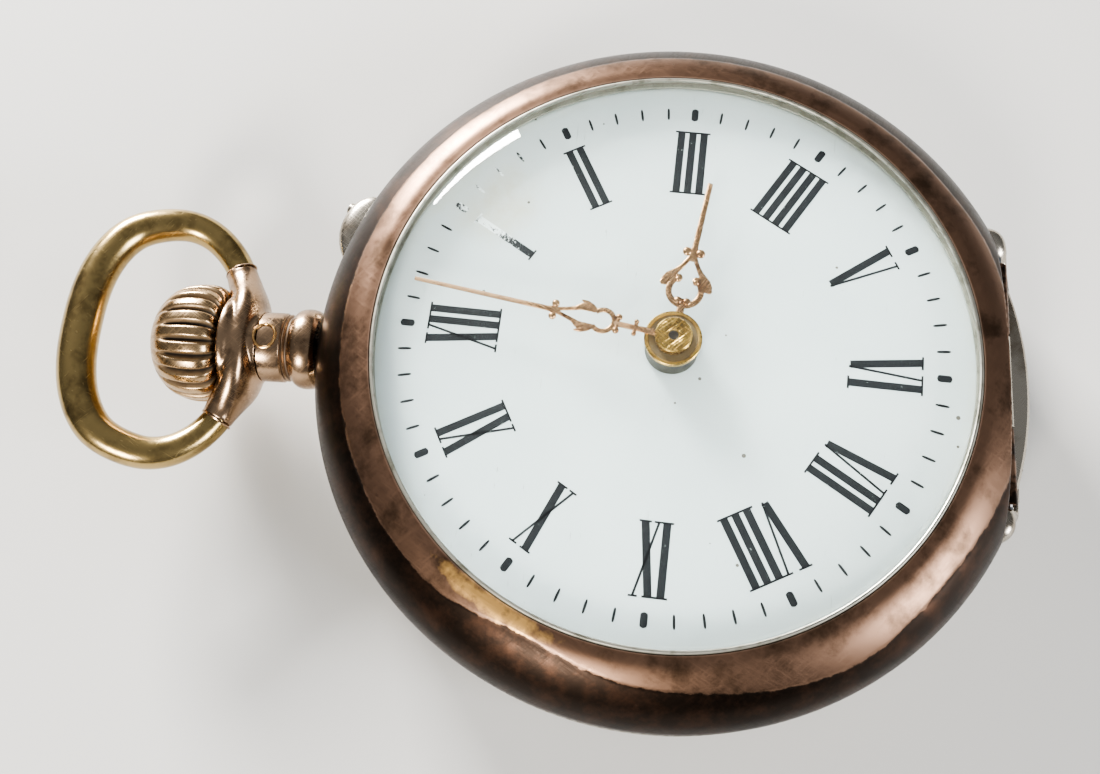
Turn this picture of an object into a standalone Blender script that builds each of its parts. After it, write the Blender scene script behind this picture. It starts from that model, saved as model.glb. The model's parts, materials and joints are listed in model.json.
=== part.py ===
"""Open face pocket watch, stem wound and pin set, lying on its back.

Frame: metres, +Z out of the dial, +Y towards the pendant, +X to the right of the dial.
The origin is the centre of the flat pad on the back cover, on the hand axis.
All sizes below are in millimetres and are turned to metres when a mesh is made.
"""
from math import acos, asin, atan2, cos, degrees, hypot, pi, radians, sin

import bmesh
import bpy
from mathutils import Matrix, Vector

MM = 0.001
TURN = 2 * pi

# --- driving dimensions, mm ---------------------------------------------------
CASE_R = 23.0            # outside radius of the case
CASE_SEGMENTS = 32
PAD_R = 8.0              # flat pad on the back cover
BACK_RIM_Z = 4.5         # top of the back cover's rim
FLANGE_Z = (4.6, 6.7)    # middle case seen between back cover and bezel
BAND_WALL_R = (19.2, 19.95)
BAND_WALL_Z = (2.6, 8.9)
BEZEL_Z = 6.8            # underside of the bezel
LIP_R = 18.47            # inner lip of the bezel
LIP_Z = 11.0
GLASS_R = 18.85
GLASS_TOP = 13.1
GLASS_T = 0.65
DIAL_R = 18.9
DIAL_Z = 9.4
DIAL_T = 0.78
DIAL_TURN = 2.8          # XII stands this many degrees clockwise of the pendant

STEM_Z = 5.5             # height of the pendant, stem, crown and bow pivots
STEM_R = 0.75
NECK_Y = (23.12, 26.95)
HEAD_Y = (27.0, 29.4)
CROWN_Y = (29.55, 34.55)
CROWN_R = 4.0
CROWN_FLUTES = 22

BOW_PIVOT_Y = 29.5
BOW_PIVOT_X = 5.33
EAR_RISE = 0.38          # the ears lean this much towards the crown, per mm of their length
BOW_CENTRE = 4.1         # from the pivots to the middle of the ring
BOW_HALF_WIDTH = 8.1
BOW_HALF_LENGTH = 5.4
BOW_WIRE_R = (1.0, 1.4)  # at the pivots, at the top of the ring
BOW_LIFT = 15.0          # the ring leans this many degrees towards the dial side

BEZEL_HINGE = (-21.05, 7.35)    # y, z of the bezel's hinge pin
BACK_HINGE = (-22.3, 4.05)
CUVETTE_HINGE = (-20.35, 2.35)
CHORD_Y = -20.45                # the bezel is cut straight here
KNUCKLE_R = 0.5
CUVETTE_KNUCKLE_R = 0.3
PIN_R = 0.2
CUVETTE_R = 19.7
CUVETTE_Z = (2.1, 2.45)

PLATE_R = 19.0
PLATE_Z = (6.6, 8.4)
RECESS_R = 7.7
RECESS_Z = 7.35
BRIDGE_R = 18.4
BRIDGE_Z = (3.1, 4.2)
FOOT_R = 17.0            # inside of the feet under the bridges
SCREW_RING_R = 16.4
BARREL_SCREW_ANGLES = (25.0, 155.0)
TRAIN_SCREW_ANGLES = (-92.0, -12.0)
SCREW_HOLE_R = 0.52

BARREL = (5.6, 6.6)
CROWN_WHEEL = (0.0, 12.6)
CENTRE = (0.0, 0.0)
THIRD_ANGLE = -70.0
FOURTH_ANGLE = 200.0
ESCAPE_ANGLE = 165.0
BALANCE_ANGLE = 110.0
MINUTE_WHEEL_ANGLE = 49.5
BARREL_TEETH, CENTRE_PINION = 60, 10     # going train: 8 x 7.5 x 10 from centre to escape
CENTRE_TEETH, THIRD_PINION = 64, 8
THIRD_TEETH, FOURTH_PINION = 60, 8
FOURTH_TEETH, ESCAPE_PINION = 60, 6
CENTRE_PITCH_R = 6.4
THIRD_PITCH_R = 5.625
FOURTH_PITCH_R = 4.8
THIRD_PINION_R = CENTRE_PITCH_R * THIRD_PINION / CENTRE_TEETH
FOURTH_PINION_R = THIRD_PITCH_R * FOURTH_PINION / THIRD_TEETH
ESCAPE_PINION_R = FOURTH_PITCH_R * ESCAPE_PINION / FOURTH_TEETH
COCK_FOOT = (-8.9, -13.6)
CLICK = (12.2, 7.6)

SET_ANGLE = 25.0         # clockwise from the pendant, direction of the setting pin
SET_Z = 5.6
SET_PIN_R = 0.45
SET_PIVOT = (10.7, 13.7)

HOUR_HAND_ANGLE = 97.2 + DIAL_TURN     # clockwise from the pendant
MINUTE_HAND_ANGLE = 8.9 + DIAL_TURN
HOUR_HAND_Z = (10.75, 10.93)
MINUTE_HAND_Z = (11.35, 11.5)
HAND_BOSS_TOP = (11.2, 12.0)
HAND_DROP = (0.3, 0.9)          # the tips lie this much lower than the bosses
HOUR_HAND_LENGTH = 11.1
MINUTE_HAND_LENGTH = 16.7


# --- materials -----------------------------------------------------------------
def material(name, colour, metallic, roughness):
    """One Principled material for one part."""
    mat = bpy.data.materials.new(name)
    mat.use_nodes = True
    mat.diffuse_color = (*colour, 1.0)
    shader = mat.node_tree.nodes["Principled BSDF"]
    shader.inputs["Base Color"].default_value = (*colour, 1.0)
    shader.inputs["Metallic"].default_value = metallic
    shader.inputs["Roughness"].default_value = roughness
    return mat


FINISHES = {
    "silver": ((0.55, 0.53, 0.50), 1.0, 0.30),
    "rose_gold": ((0.50, 0.27, 0.19), 1.0, 0.32),
    "bow_brass": ((0.52, 0.37, 0.16), 1.0, 0.33),
    "hand_gold": ((0.68, 0.38, 0.20), 1.0, 0.25),
    "enamel": ((0.82, 0.83, 0.82), 0.0, 0.12),
    "glass": ((0.95, 0.97, 0.97), 0.0, 0.03),
    "gilt": ((0.72, 0.55, 0.25), 1.0, 0.35),
    "steel": ((0.50, 0.50, 0.52), 1.0, 0.22),
    "blued_steel": ((0.05, 0.09, 0.28), 1.0, 0.25),
    "ruby": ((0.45, 0.02, 0.06), 0.0, 0.08),
}


# --- mesh helpers --------------------------------------------------------------
def finish(name, mesh_bm, colour, pivot=(0, 0, 0), smooth=35.0):
    """Turn a bmesh in mm into a named object whose origin is at the pivot (mm)."""
    bmesh.ops.recalc_face_normals(mesh_bm, faces=mesh_bm.faces)
    bmesh.ops.translate(mesh_bm, vec=-Vector(pivot), verts=mesh_bm.verts)
    bmesh.ops.scale(mesh_bm, vec=(MM, MM, MM), verts=mesh_bm.verts)
    mesh = bpy.data.meshes.new(name)
    mesh_bm.to_mesh(mesh)
    mesh_bm.free()
    mesh.shade_smooth()
    mesh.set_sharp_from_angle(angle=radians(smooth))
    obj = bpy.data.objects.new(name, mesh)
    obj.location = Vector(pivot) * MM
    obj.data.materials.append(material(name, *FINISHES[colour]))
    bpy.context.collection.objects.link(obj)
    return obj


def boolean(obj, tool_bm, operation):
    """Cut or join a bmesh (mm) to an object, and keep the result as its mesh."""
    tool = finish("tool", tool_bm, "steel")
    modifier = obj.modifiers.new(operation, "BOOLEAN")
    modifier.solver = "EXACT"
    modifier.operation = operation
    modifier.object = tool
    graph = bpy.context.evaluated_depsgraph_get()
    result = bpy.data.meshes.new_from_object(obj.evaluated_get(graph))
    obj.modifiers.remove(modifier)
    old = obj.data
    name = old.name
    obj.data = result
    bpy.data.meshes.remove(old)
    result.name = name
    tidy = bmesh.new()
    tidy.from_mesh(result)
    bmesh.ops.remove_doubles(tidy, verts=tidy.verts, dist=2e-7)
    tidy.to_mesh(result)
    tidy.free()
    tool_mesh, tool_material = tool.data, tool.data.materials[0]
    bpy.data.objects.remove(tool)
    bpy.data.meshes.remove(tool_mesh)
    bpy.data.materials.remove(tool_material)
    keep = [m for m in result.materials if m is not None][:1]
    result.materials.clear()
    for mat in keep:
        result.materials.append(mat)
    result.polygons.foreach_set("material_index", [0] * len(result.polygons))
    return obj


def cut(obj, tool_bm):
    """Take a bmesh shape away from an object."""
    return boolean(obj, tool_bm, "DIFFERENCE")


def join(obj, tool_bm):
    """Join a bmesh shape to an object."""
    return boolean(obj, tool_bm, "UNION")


def lathe(profile, segments=CASE_SEGMENTS, flute=None):
    """Turn a profile of (radius, height) round Z: closed, or open from axis to axis.

    flute(segment, radius) may return another radius, for knurling.
    """
    closed = profile[0][0] > 0 and profile[-1][0] > 0
    mesh_bm = bmesh.new()
    rings = []
    for radius, height in profile:
        if radius == 0:
            rings.append([mesh_bm.verts.new((0, 0, height))])
            continue
        ring = []
        for i in range(segments):
            angle = TURN * i / segments
            r = flute(i, radius) if flute else radius
            ring.append(mesh_bm.verts.new((r * cos(angle), r * sin(angle), height)))
        rings.append(ring)
    pairs = list(zip(rings, rings[1:]))
    if closed:
        pairs.append((rings[-1], rings[0]))
    for a, b in pairs:
        for i in range(segments):
            j = (i + 1) % segments
            if len(a) == 1:
                mesh_bm.faces.new((a[0], b[j], b[i]))
            elif len(b) == 1:
                mesh_bm.faces.new((a[i], a[j], b[0]))
            else:
                mesh_bm.faces.new((a[i], a[j], b[j], b[i]))
    return mesh_bm


def placed(mesh_bm, matrix):
    """Move a bmesh by a matrix and give it back."""
    bmesh.ops.transform(mesh_bm, matrix=matrix, verts=mesh_bm.verts)
    return mesh_bm


def at(x, y, z=0.0):
    return Matrix.Translation((x, y, z))


def along_y(z=STEM_Z):
    """Turns a lathe so that its height runs along +Y, on the stem's axis."""
    return at(0, 0, z) @ Matrix.Rotation(radians(-90), 4, "X")


def along_x(x, y, z):
    """Turns a lathe so that its height runs along +X from x."""
    return at(x, y, z) @ Matrix.Rotation(radians(90), 4, "Y")


def outward(angle, z):
    """Turns a lathe so that its height runs outwards, clockwise angle from the pendant."""
    turn = Matrix.Rotation(radians(-angle), 4, "Z") @ Matrix.Rotation(radians(-90), 4, "X")
    return at(0, 0, z) @ turn


def rod(radius, low, high, segments=16, bore=0.0):
    """A round bar, or a tube where bore is its inner radius."""
    if bore:
        return lathe([(bore, low), (radius, low), (radius, high), (bore, high)], segments)
    return lathe([(0, low), (radius, low), (radius, high), (0, high)], segments)


def box(low, high):
    mesh_bm = bmesh.new()
    size = Vector(high) - Vector(low)
    middle = (Vector(high) + Vector(low)) / 2
    bmesh.ops.create_cube(mesh_bm, size=1.0)
    bmesh.ops.scale(mesh_bm, vec=size, verts=mesh_bm.verts)
    return placed(mesh_bm, Matrix.Translation(middle))


def prism(outline, low, high, holes=()):
    """An outline of (x, y) points, with holes, drawn out from low to high."""
    mesh_bm = bmesh.new()
    edges = []
    for loop in (outline, *holes):
        verts = [mesh_bm.verts.new((x, y, low)) for x, y in loop]
        for a, b in zip(verts, verts[1:] + verts[:1]):
            edges.append(mesh_bm.edges.new((a, b)))
    bmesh.ops.triangle_fill(mesh_bm, use_beauty=True, use_dissolve=False, edges=edges)
    made = bmesh.ops.extrude_face_region(mesh_bm, geom=list(mesh_bm.faces))
    top = [v for v in made["geom"] if isinstance(v, bmesh.types.BMVert)]
    bmesh.ops.translate(mesh_bm, vec=(0, 0, high - low), verts=top)
    return mesh_bm


def circle(centre, radius, points=12, phase=0.0):
    cx, cy = centre
    steps = [phase + TURN * i / points for i in range(points)]
    return [(cx + radius * cos(a), cy + radius * sin(a)) for a in steps]


def arc(radius, start, end, points, centre=(0.0, 0.0)):
    """Points on an arc between two angles in degrees, anticlockwise from +X."""
    steps = [radians(start + (end - start) * i / (points - 1)) for i in range(points)]
    return [(centre[0] + radius * cos(a), centre[1] + radius * sin(a)) for a in steps]


def capsule(a, ra, b, rb, points=9):
    """The outline round two discs of radius ra and rb, tangents and all."""
    heading = atan2(b[1] - a[1], b[0] - a[0])
    lean = acos((ra - rb) / hypot(b[0] - a[0], b[1] - a[1]))
    back = arc(ra, degrees(heading + lean), degrees(heading + TURN - lean), points, a)
    front = arc(rb, degrees(heading - lean), degrees(heading + lean), points, b)
    return back + front


def polar(angle, radius, centre=(0.0, 0.0)):
    """A point at an angle in degrees, anticlockwise from +X."""
    return (centre[0] + radius * cos(radians(angle)), centre[1] + radius * sin(radians(angle)))


def clockwise(angle, radius):
    """A point at an angle in degrees, clockwise from the pendant."""
    return (radius * sin(radians(angle)), radius * cos(radians(angle)))


# --- gears ---------------------------------------------------------------------
TOOTH_TIP = 0.30         # tip above the pitch circle, in modules
TOOTH_ROOT = 0.95        # root below the pitch circle, in modules


def gear_outline(teeth, pitch_r, phase):
    """Pointed teeth, with one tip at the angle phase (radians)."""
    module = 2 * pitch_r / teeth
    points = []
    for i in range(teeth):
        tip = phase + TURN * i / teeth
        gap = tip + pi / teeth
        points.append(((pitch_r + TOOTH_TIP * module) * cos(tip),
                       (pitch_r + TOOTH_TIP * module) * sin(tip)))
        points.append(((pitch_r - TOOTH_ROOT * module) * cos(gap),
                       (pitch_r - TOOTH_ROOT * module) * sin(gap)))
    return points


def window(inner, outer, start, end, points=3):
    """The hole between two spokes of a wheel."""
    return arc(outer, start, end, points) + arc(inner, end, start, 2)


def gear(teeth, pitch_r, phase, low, high, bore=0.0, spokes=0, rim=0.85):
    """A gear round Z, bored and crossed out into spokes where asked."""
    holes = []
    if bore:
        holes.append(circle((0, 0), bore, 10))
    for i in range(spokes):
        start = 360.0 / spokes * i
        holes.append(window(bore + 0.75, pitch_r - rim, start + 9, start + 360.0 / spokes - 9))
    return prism(gear_outline(teeth, pitch_r, phase), low, high, holes)


def meshing_phase(driver_phase, driver_teeth, driver_at, teeth, here):
    """The phase that puts a gap of this gear opposite the driver's nearest tip."""
    line = atan2(here[1] - driver_at[1], here[0] - driver_at[0])
    step = TURN / driver_teeth
    offset = (driver_phase - line + step / 2) % step - step / 2
    return line + pi - offset * driver_teeth / teeth + pi / teeth


def clear_scene():
    for obj in list(bpy.data.objects):
        bpy.data.objects.remove(obj)


# --- case ----------------------------------------------------------------------
def hinge_barrel(x_low, x_high, axis, radius, segments=8):
    """A solid hinge barrel along X round the axis (y, z)."""
    return placed(rod(radius, 0, x_high - x_low, segments), along_x(x_low, *axis))


def case_band():
    r_in, r_out = BAND_WALL_R
    low, high = BAND_WALL_Z
    f_low, f_high = FLANGE_Z
    band = finish("case_band", lathe([
        (r_in, low), (r_out, low), (r_out, f_low), (CASE_R - 0.15, f_low),
        (CASE_R, f_low + 0.2), (CASE_R, f_high - 0.2), (CASE_R - 0.15, f_high),
        (r_out, f_high), (r_out, high), (r_in, high)]), "silver")
    y, z = BEZEL_HINGE
    join(band, box((-2.9, y - 0.35, f_high - 0.2), (2.9, y + 0.35, z)))
    join(band, hinge_barrel(-3.0, 3.0, BEZEL_HINGE, KNUCKLE_R))
    for side in (-1, 1):
        inner, outer = sorted((side * 8.3, side * 10.6))
        join(band, hinge_barrel(inner, outer, BEZEL_HINGE, 1.15, 10))
    y, z = BACK_HINGE
    join(band, box((-2.9, y - 0.35, z), (2.9, y + 0.35, f_low + 0.2)))
    join(band, hinge_barrel(-3.0, 3.0, BACK_HINGE, KNUCKLE_R))
    y, z = CUVETTE_HINGE
    join(band, box((-1.9, y - 0.1, z), (1.9, -r_in - 0.2, low + 0.3)))
    join(band, hinge_barrel(-2.0, 2.0, CUVETTE_HINGE, CUVETTE_KNUCKLE_R))
    cut(band, placed(rod(PIN_R + 0.05, -9.2, 9.2, 8), along_x(0, *BEZEL_HINGE)))
    cut(band, placed(rod(PIN_R + 0.05, -4, 4, 8), along_x(0, *BACK_HINGE)))
    cut(band, placed(rod(0.15, -3, 3, 8), along_x(0, *CUVETTE_HINGE)))
    cut(band, placed(rod(STEM_R + 0.1, 18.0, 24.0, 12), along_y()))
    cut(band, placed(rod(SET_PIN_R + 0.08, 18.0, 24.0, 10), outward(SET_ANGLE, SET_Z)))
    return band


def hinge_pins():
    """The three pins, one through each row of knuckles."""
    for name, axis, half, radius in (("bezel_hinge_pin", BEZEL_HINGE, 8.9, PIN_R),
                                     ("back_hinge_pin", BACK_HINGE, 6.9, PIN_R),
                                     ("cuvette_hinge_pin", CUVETTE_HINGE, 4.8, 0.11)):
        finish(name, placed(rod(radius, -half, half, 8), along_x(0, *axis)), "steel",
               (0, *axis))


def bezel():
    y, z = BEZEL_HINGE
    ring = finish("bezel", lathe([
        (20.15, BEZEL_Z), (22.9, BEZEL_Z), (CASE_R, 7.05), (22.85, 7.9), (22.2, 9.1),
        (20.9, 10.2), (19.6, 10.8), (18.95, LIP_Z), (LIP_R, 10.95),
        (LIP_R, 10.75), (18.95, 10.6), (18.95, 9.95), (18.5, 9.9), (18.5, 9.7),
        (19.3, 9.2), (20.15, 9.1)]), "rose_gold", (0, y, z))
    cut(ring, box((-12, -24, 5), (12, CHORD_Y, 12)))
    for side in (-1, 1):
        inner, outer = sorted((side * 8.1, side * 11.4))
        cut(ring, hinge_barrel(inner, outer, BEZEL_HINGE, 1.3, 10))
        inner, outer = sorted((side * 3.1, side * 8.0))
        join(ring, box((inner + 0.1, y, z - 0.3), (outer - 0.1, CHORD_Y + 0.2, z + 0.45)))
        join(ring, hinge_barrel(inner, outer, BEZEL_HINGE, KNUCKLE_R))
    cut(ring, placed(rod(PIN_R + 0.05, -9.2, 9.2, 8), along_x(0, *BEZEL_HINGE)))
    return ring


def glass_height(radius, rim, top):
    """Height of the domed glass over a radius: steep at the rim and flatter in the middle."""
    return rim + (top - rim) * (1 - (radius / GLASS_R) ** 2) ** 0.75


def crystal():
    radii = (17.8, 14.8, 8.5)
    rim, under_rim = 10.3, 10.0
    top = [(r, glass_height(r, rim, GLASS_TOP)) for r in radii]
    under = [(r, glass_height(r, under_rim, GLASS_TOP - GLASS_T)) for r in reversed(radii)]
    profile = [(0, GLASS_TOP - GLASS_T), *under, (GLASS_R, 10.05), (GLASS_R, 10.4), *top,
               (0, GLASS_TOP)]
    finish("crystal", lathe(profile), "glass", (0, *BEZEL_HINGE))


def back_height(radius, lift=0.0):
    """Outer height of the back cover: a flat pad, then a full round shoulder."""
    if radius <= PAD_R:
        return lift
    u = (radius - PAD_R) / (CASE_R - PAD_R - 0.1)
    power = 2.6
    return lift + 3.6 * (1 - max(0.0, 1 - u ** power) ** (1 / power))


def back_cover():
    y, z = BACK_HINGE
    outer = [(r, back_height(r)) for r in (PAD_R, 14.0, 18.6, 21.6)]
    inner = [(r, back_height(r + 0.25, 0.5)) for r in (21.2, 18.4, 14.0, PAD_R)]
    profile = [(0, 0), *outer, (22.95, 3.75), (22.95, BACK_RIM_Z - 0.2), (22.75, BACK_RIM_Z),
               (22.2, BACK_RIM_Z), (22.2, 3.4), *inner, (0, 0.5)]
    cover = finish("back_cover", lathe(profile), "silver", (0, y, z))
    lip = [clockwise(a, r) for a, r in ((44.5, 22.6), (46.5, 23.7), (48.7, 24.15),
                                        (50.9, 23.7), (53.0, 22.6))]
    join(cover, prism(lip, 3.7, 4.3))
    cut(cover, box((-7.15, -24, 3.3), (7.15, y + 0.6, 5.0)))
    for side in (-1, 1):
        inner_x, outer_x = sorted((side * 3.1, side * 7.0))
        join(cover, box((inner_x + 0.1, y, 3.65), (outer_x - 0.1, y + 0.9, 4.3)))
        join(cover, hinge_barrel(inner_x, outer_x, BACK_HINGE, KNUCKLE_R))
    cut(cover, placed(rod(PIN_R + 0.05, -9, 9, 8), along_x(0, *BACK_HINGE)))
    return cover


def cuvette():
    y, z = CUVETTE_HINGE
    low, high = CUVETTE_Z
    lid = finish("cuvette", lathe([
        (0, low - 0.12), (12.0, low - 0.08), (CUVETTE_R - 0.4, low), (CUVETTE_R, low + 0.15),
        (CUVETTE_R, high), (0, high - 0.1)]), "gilt", (0, y, z))
    for side in (-1, 1):
        inner, outer = sorted((side * 2.1, side * 5.0))
        join(lid, box((inner + 0.05, y, low + 0.08), (outer - 0.05, y + 1.6, high - 0.02)))
        join(lid, hinge_barrel(inner, outer, CUVETTE_HINGE, CUVETTE_KNUCKLE_R, 10))
    cut(lid, placed(rod(0.15, -6, 6, 8), along_x(0, *CUVETTE_HINGE)))
    cut(lid, box((-2.05, -20.0, low - 1), (2.05, -19.3, high + 1)))
    return lid


# --- pendant, bow, crown and setting pin ------------------------------------------
def pendant():
    y0, y1 = NECK_Y
    bore = STEM_R + 0.1
    finish("pendant_neck", placed(lathe([
        (bore, y0), (2.4, y0), (2.64, y0 + 0.4), (2.7, y0 + 0.85),
        (2.62, y0 + 1.3), (2.35, y0 + 1.75), (2.1, y0 + 2.0), (2.1, y0 + 2.15),
        (2.32, y0 + 2.35), (2.34, y1), (bore, y1)], 16), along_y()), "rose_gold")
    y0, y1 = HEAD_Y
    head = finish("pendant_head", placed(lathe([
        (bore, y0), (2.45, y0), (2.8, y0 + 0.6), (3.2, y0 + 1.3), (3.4, y1 - 0.4),
        (3.3, y1), (bore, y1)], 16), along_y()), "rose_gold")
    for side in (-1, 1):
        ear = lathe([(0, 0.9), (0.75, 0.9), (1.1, 2.4), (1.08, 3.6), (1.06, 5.0), (1.06, 5.2),
                     (0, 5.2)], 12)
        lift = Matrix.Shear("XY", 4, (0, 0))
        lift[1][2] = EAR_RISE
        middle = BOW_PIVOT_Y - EAR_RISE * BOW_PIVOT_X
        join(head, placed(ear, at(0, middle, STEM_Z) @ Matrix.Rotation(radians(90 * side), 4, "Y")
                          @ lift))
        cut(head, placed(rod(0.5, 4.0, 6.0, 10),
                         at(0, BOW_PIVOT_Y, STEM_Z) @ Matrix.Rotation(radians(90 * side), 4, "Y")))
    cut(head, placed(rod(bore, y0 - 1, y1 + 1, 16), along_y()))
    return head


def bow_point(t):
    """Centre line of the bow, t from -1 to 1, in the ring's own plane (x, reach)."""
    start = -asin(BOW_CENTRE / BOW_HALF_LENGTH)
    angle = start + (pi / 2 - start) * (t + 1)
    x = -BOW_HALF_WIDTH * cos(angle)
    reach = BOW_CENTRE + BOW_HALF_LENGTH * sin(angle)
    return x, reach


def bow():
    """A C of round wire, thickest at its top, ending in two pegs on the pivot axis."""
    steps, around = 22, 8
    points = [bow_point(-1 + 2 * i / steps) for i in range(steps + 1)]
    mesh_bm = bmesh.new()
    rings = []
    for i, (x, reach) in enumerate(points):
        if 0 < i < steps:
            before, after = points[i - 1], points[i + 1]
            tangent = Vector((after[0] - before[0], after[1] - before[1]))
        else:
            tangent = Vector((-1.0, 0.0))
        tangent.normalize()
        side = Vector((tangent.y, -tangent.x))
        t = i / steps
        radius = BOW_WIRE_R[0] + (BOW_WIRE_R[1] - BOW_WIRE_R[0]) * sin(pi * t) ** 1.3
        ring = []
        for j in range(around):
            a = TURN * j / around
            across = side * (radius * cos(a))
            ring.append(mesh_bm.verts.new((x + across.x, reach + across.y, radius * sin(a))))
        rings.append(ring)
    for a, b in zip(rings, rings[1:]):
        for j in range(around):
            k = (j + 1) % around
            mesh_bm.faces.new((a[j], a[k], b[k], b[j]))
    mesh_bm.faces.new(rings[0])
    mesh_bm.faces.new(list(reversed(rings[-1])))
    placed(mesh_bm, at(0, BOW_PIVOT_Y, STEM_Z) @ Matrix.Rotation(radians(BOW_LIFT), 4, "X"))
    ring = finish("bow", mesh_bm, "bow_brass", (0, BOW_PIVOT_Y, STEM_Z))
    for side in (-1, 1):
        join(ring, placed(rod(0.42, 4.3, BOW_PIVOT_X + 0.6, 8), at(0, BOW_PIVOT_Y, STEM_Z)
                          @ Matrix.Rotation(radians(90 * side), 4, "Y")))
    return ring


def crown():
    """The winding crown: a full swell with rounded flutes, blind bored for the stem."""
    y0, y1 = CROWN_Y
    swell = [(0.0, 0.62), (0.5, 0.88), (1.7, 1.0), (3.0, 0.95), (4.1, 0.74), (4.7, 0.45)]
    profile = [(0, y0), *[(CROWN_R * share, y0 + rise) for rise, share in swell], (0, y1)]

    def flute(column, radius):
        return radius if column % 2 else radius * 0.93

    knob = finish("crown", placed(lathe(profile, 2 * CROWN_FLUTES, flute), along_y()), "rose_gold",
                  (0, y0, STEM_Z))
    cut(knob, placed(rod(STEM_R + 0.06, y0 - 1, y0 + 2.9, 16), along_y()))
    return knob


def winding_stem():
    finish("winding_stem", placed(rod(STEM_R, 13.9, CROWN_Y[0] + 2.7, 16), along_y()), "steel",
           (0, CROWN_Y[0], STEM_Z))
    ring = prism(gear_outline(18, 2.3, 0.0), 15.2, 16.5, [circle((0, 0), STEM_R + 0.05, 16)])
    finish("winding_pinion", placed(ring, along_y()), "steel", (0, CROWN_Y[0], STEM_Z))


def guard_lug():
    inner = [clockwise(a, CASE_R + 0.08) for a in (29.0, 25.5, 22.0, 18.5)]
    outer = [clockwise(a, r) for a, r in ((16.6, 23.1), (19.0, 23.9), (21.8, 24.55),
                                          (24.5, 24.85), (27.0, 24.5), (29.2, 23.7))]
    lug = finish("guard_lug", prism(inner + outer, 4.75, 6.5), "silver")
    cut(lug, placed(rod(SET_PIN_R + 0.08, 20.0, 27.0, 10), outward(SET_ANGLE, SET_Z)))
    return lug


def setting():
    pin = lathe([(0, 18.95), (SET_PIN_R, 18.95), (SET_PIN_R, 24.9), (0.3, 25.05), (0, 25.05)], 14)
    finish("setting_pin", placed(pin, outward(SET_ANGLE, SET_Z)), "silver")
    x, y = SET_PIVOT
    tip = (5.2, 16.6)
    lever = capsule(SET_PIVOT, 0.85, tip, 0.4, 7)
    finish("setting_lever", prism(lever, 5.1, 5.9, [circle(SET_PIVOT, 0.35, 10)]), "steel",
           (x, y, 5.5))
    finish("setting_lever_post", placed(rod(0.28, 4.4, 6.55, 10), at(x, y)), "steel")


# --- movement ------------------------------------------------------------------
def train_layout():
    """Where the wheels sit: each at its centre distance from the one before."""
    third = polar(THIRD_ANGLE, CENTRE_PITCH_R + THIRD_PINION_R)
    fourth = polar(FOURTH_ANGLE, THIRD_PITCH_R + FOURTH_PINION_R, third)
    escape = polar(ESCAPE_ANGLE, FOURTH_PITCH_R + ESCAPE_PINION_R, fourth)
    balance = polar(BALANCE_ANGLE, 2.95, escape)
    minute = polar(MINUTE_WHEEL_ANGLE, 4.0)
    return third, fourth, escape, balance, minute


def main_plate(places):
    third, fourth, escape, balance, minute = places
    low, high = PLATE_Z
    plate = finish("main_plate", lathe([
        (0.62, low), (PLATE_R, low), (PLATE_R, high), (RECESS_R, high), (RECESS_R, RECESS_Z),
        (0.62, RECESS_Z)]), "gilt")
    cut(plate, box((-2.6, 14.7, low - 1), (2.6, 20, high + 1)))
    for spot, radius in ((BARREL, 0.75), (third, 0.3), (fourth, 0.3), (escape, 0.3),
                         (balance, 0.35), (minute, 0.3)):
        cut(plate, placed(rod(radius, low - 1, high + 1, 10), at(*spot)))
    return plate


def foot(start, end, points):
    """The raised foot under a bridge's outer edge."""
    outline = arc(BRIDGE_R - 0.15, start, end, points) + arc(FOOT_R, end, start, points)
    return prism(outline, BRIDGE_Z[0] + 0.3, PLATE_Z[0] - 0.05)


def barrel_bridge():
    low, high = BRIDGE_Z
    edge = degrees(asin(1.9 / BRIDGE_R))
    outline = arc(BRIDGE_R, edge, 180 - edge, 24)
    holes = [circle(BARREL, 0.75, 12), circle(CROWN_WHEEL, 0.55, 12)]
    holes += [circle(polar(a, SCREW_RING_R), SCREW_HOLE_R, 8) for a in BARREL_SCREW_ANGLES]
    holes += [circle(CLICK, 0.4, 8)]
    bridge = finish("barrel_bridge", prism(outline, low, high, holes), "gilt")
    join(bridge, foot(12, 46, 5))
    join(bridge, foot(104, 168, 8))
    cut(bridge, box((-2.6, 14.95, low - 1), (2.6, 19, high + 1)))
    return bridge


def train_bridge(places):
    """The bridge over the centre, third and fourth wheels."""
    third, fourth = places[:2]
    low, high = BRIDGE_Z
    outline = arc(BRIDGE_R, -106.0, 4.5, 16)
    outline += [(-2.6, 1.45), (-2.6, -6.2), (-3.2, -7.2), (-4.6, -9.4)]
    holes = [circle(CENTRE, 0.62, 12), circle(third, 0.62, 10), circle(fourth, 0.62, 10)]
    holes += [circle(polar(a, SCREW_RING_R), SCREW_HOLE_R, 8) for a in TRAIN_SCREW_ANGLES]
    bridge = finish("train_bridge", prism(outline, low, high, holes), "gilt")
    join(bridge, foot(-100, -4, 12))
    return bridge


def escape_cock(places):
    """The small cock that holds the escape wheel's back pivot, under the balance."""
    escape = places[2]
    base = (-13.4, -10.6)
    arm = finish("escape_cock", prism(capsule(base, 1.5, escape, 0.9), 4.3, 4.75,
                                      [circle(escape, 0.3, 8)]), "gilt")
    join(arm, placed(rod(1.3, 4.5, PLATE_Z[0] - 0.05, 10), at(*base)))
    return arm


def balance_cock(places):
    balance = places[3]
    low, high = 2.86, 3.3
    cock = finish("balance_cock", prism(capsule(COCK_FOOT, 2.2, balance, 2.9, 8), low, high,
                                        [circle(balance, 0.4, 10), circle(COCK_FOOT, 0.5, 8)]),
                  "gilt")
    join(cock, placed(rod(1.85, high - 0.1, PLATE_Z[0] - 0.05, 12, 0.5), at(*COCK_FOOT)))
    return cock


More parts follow.
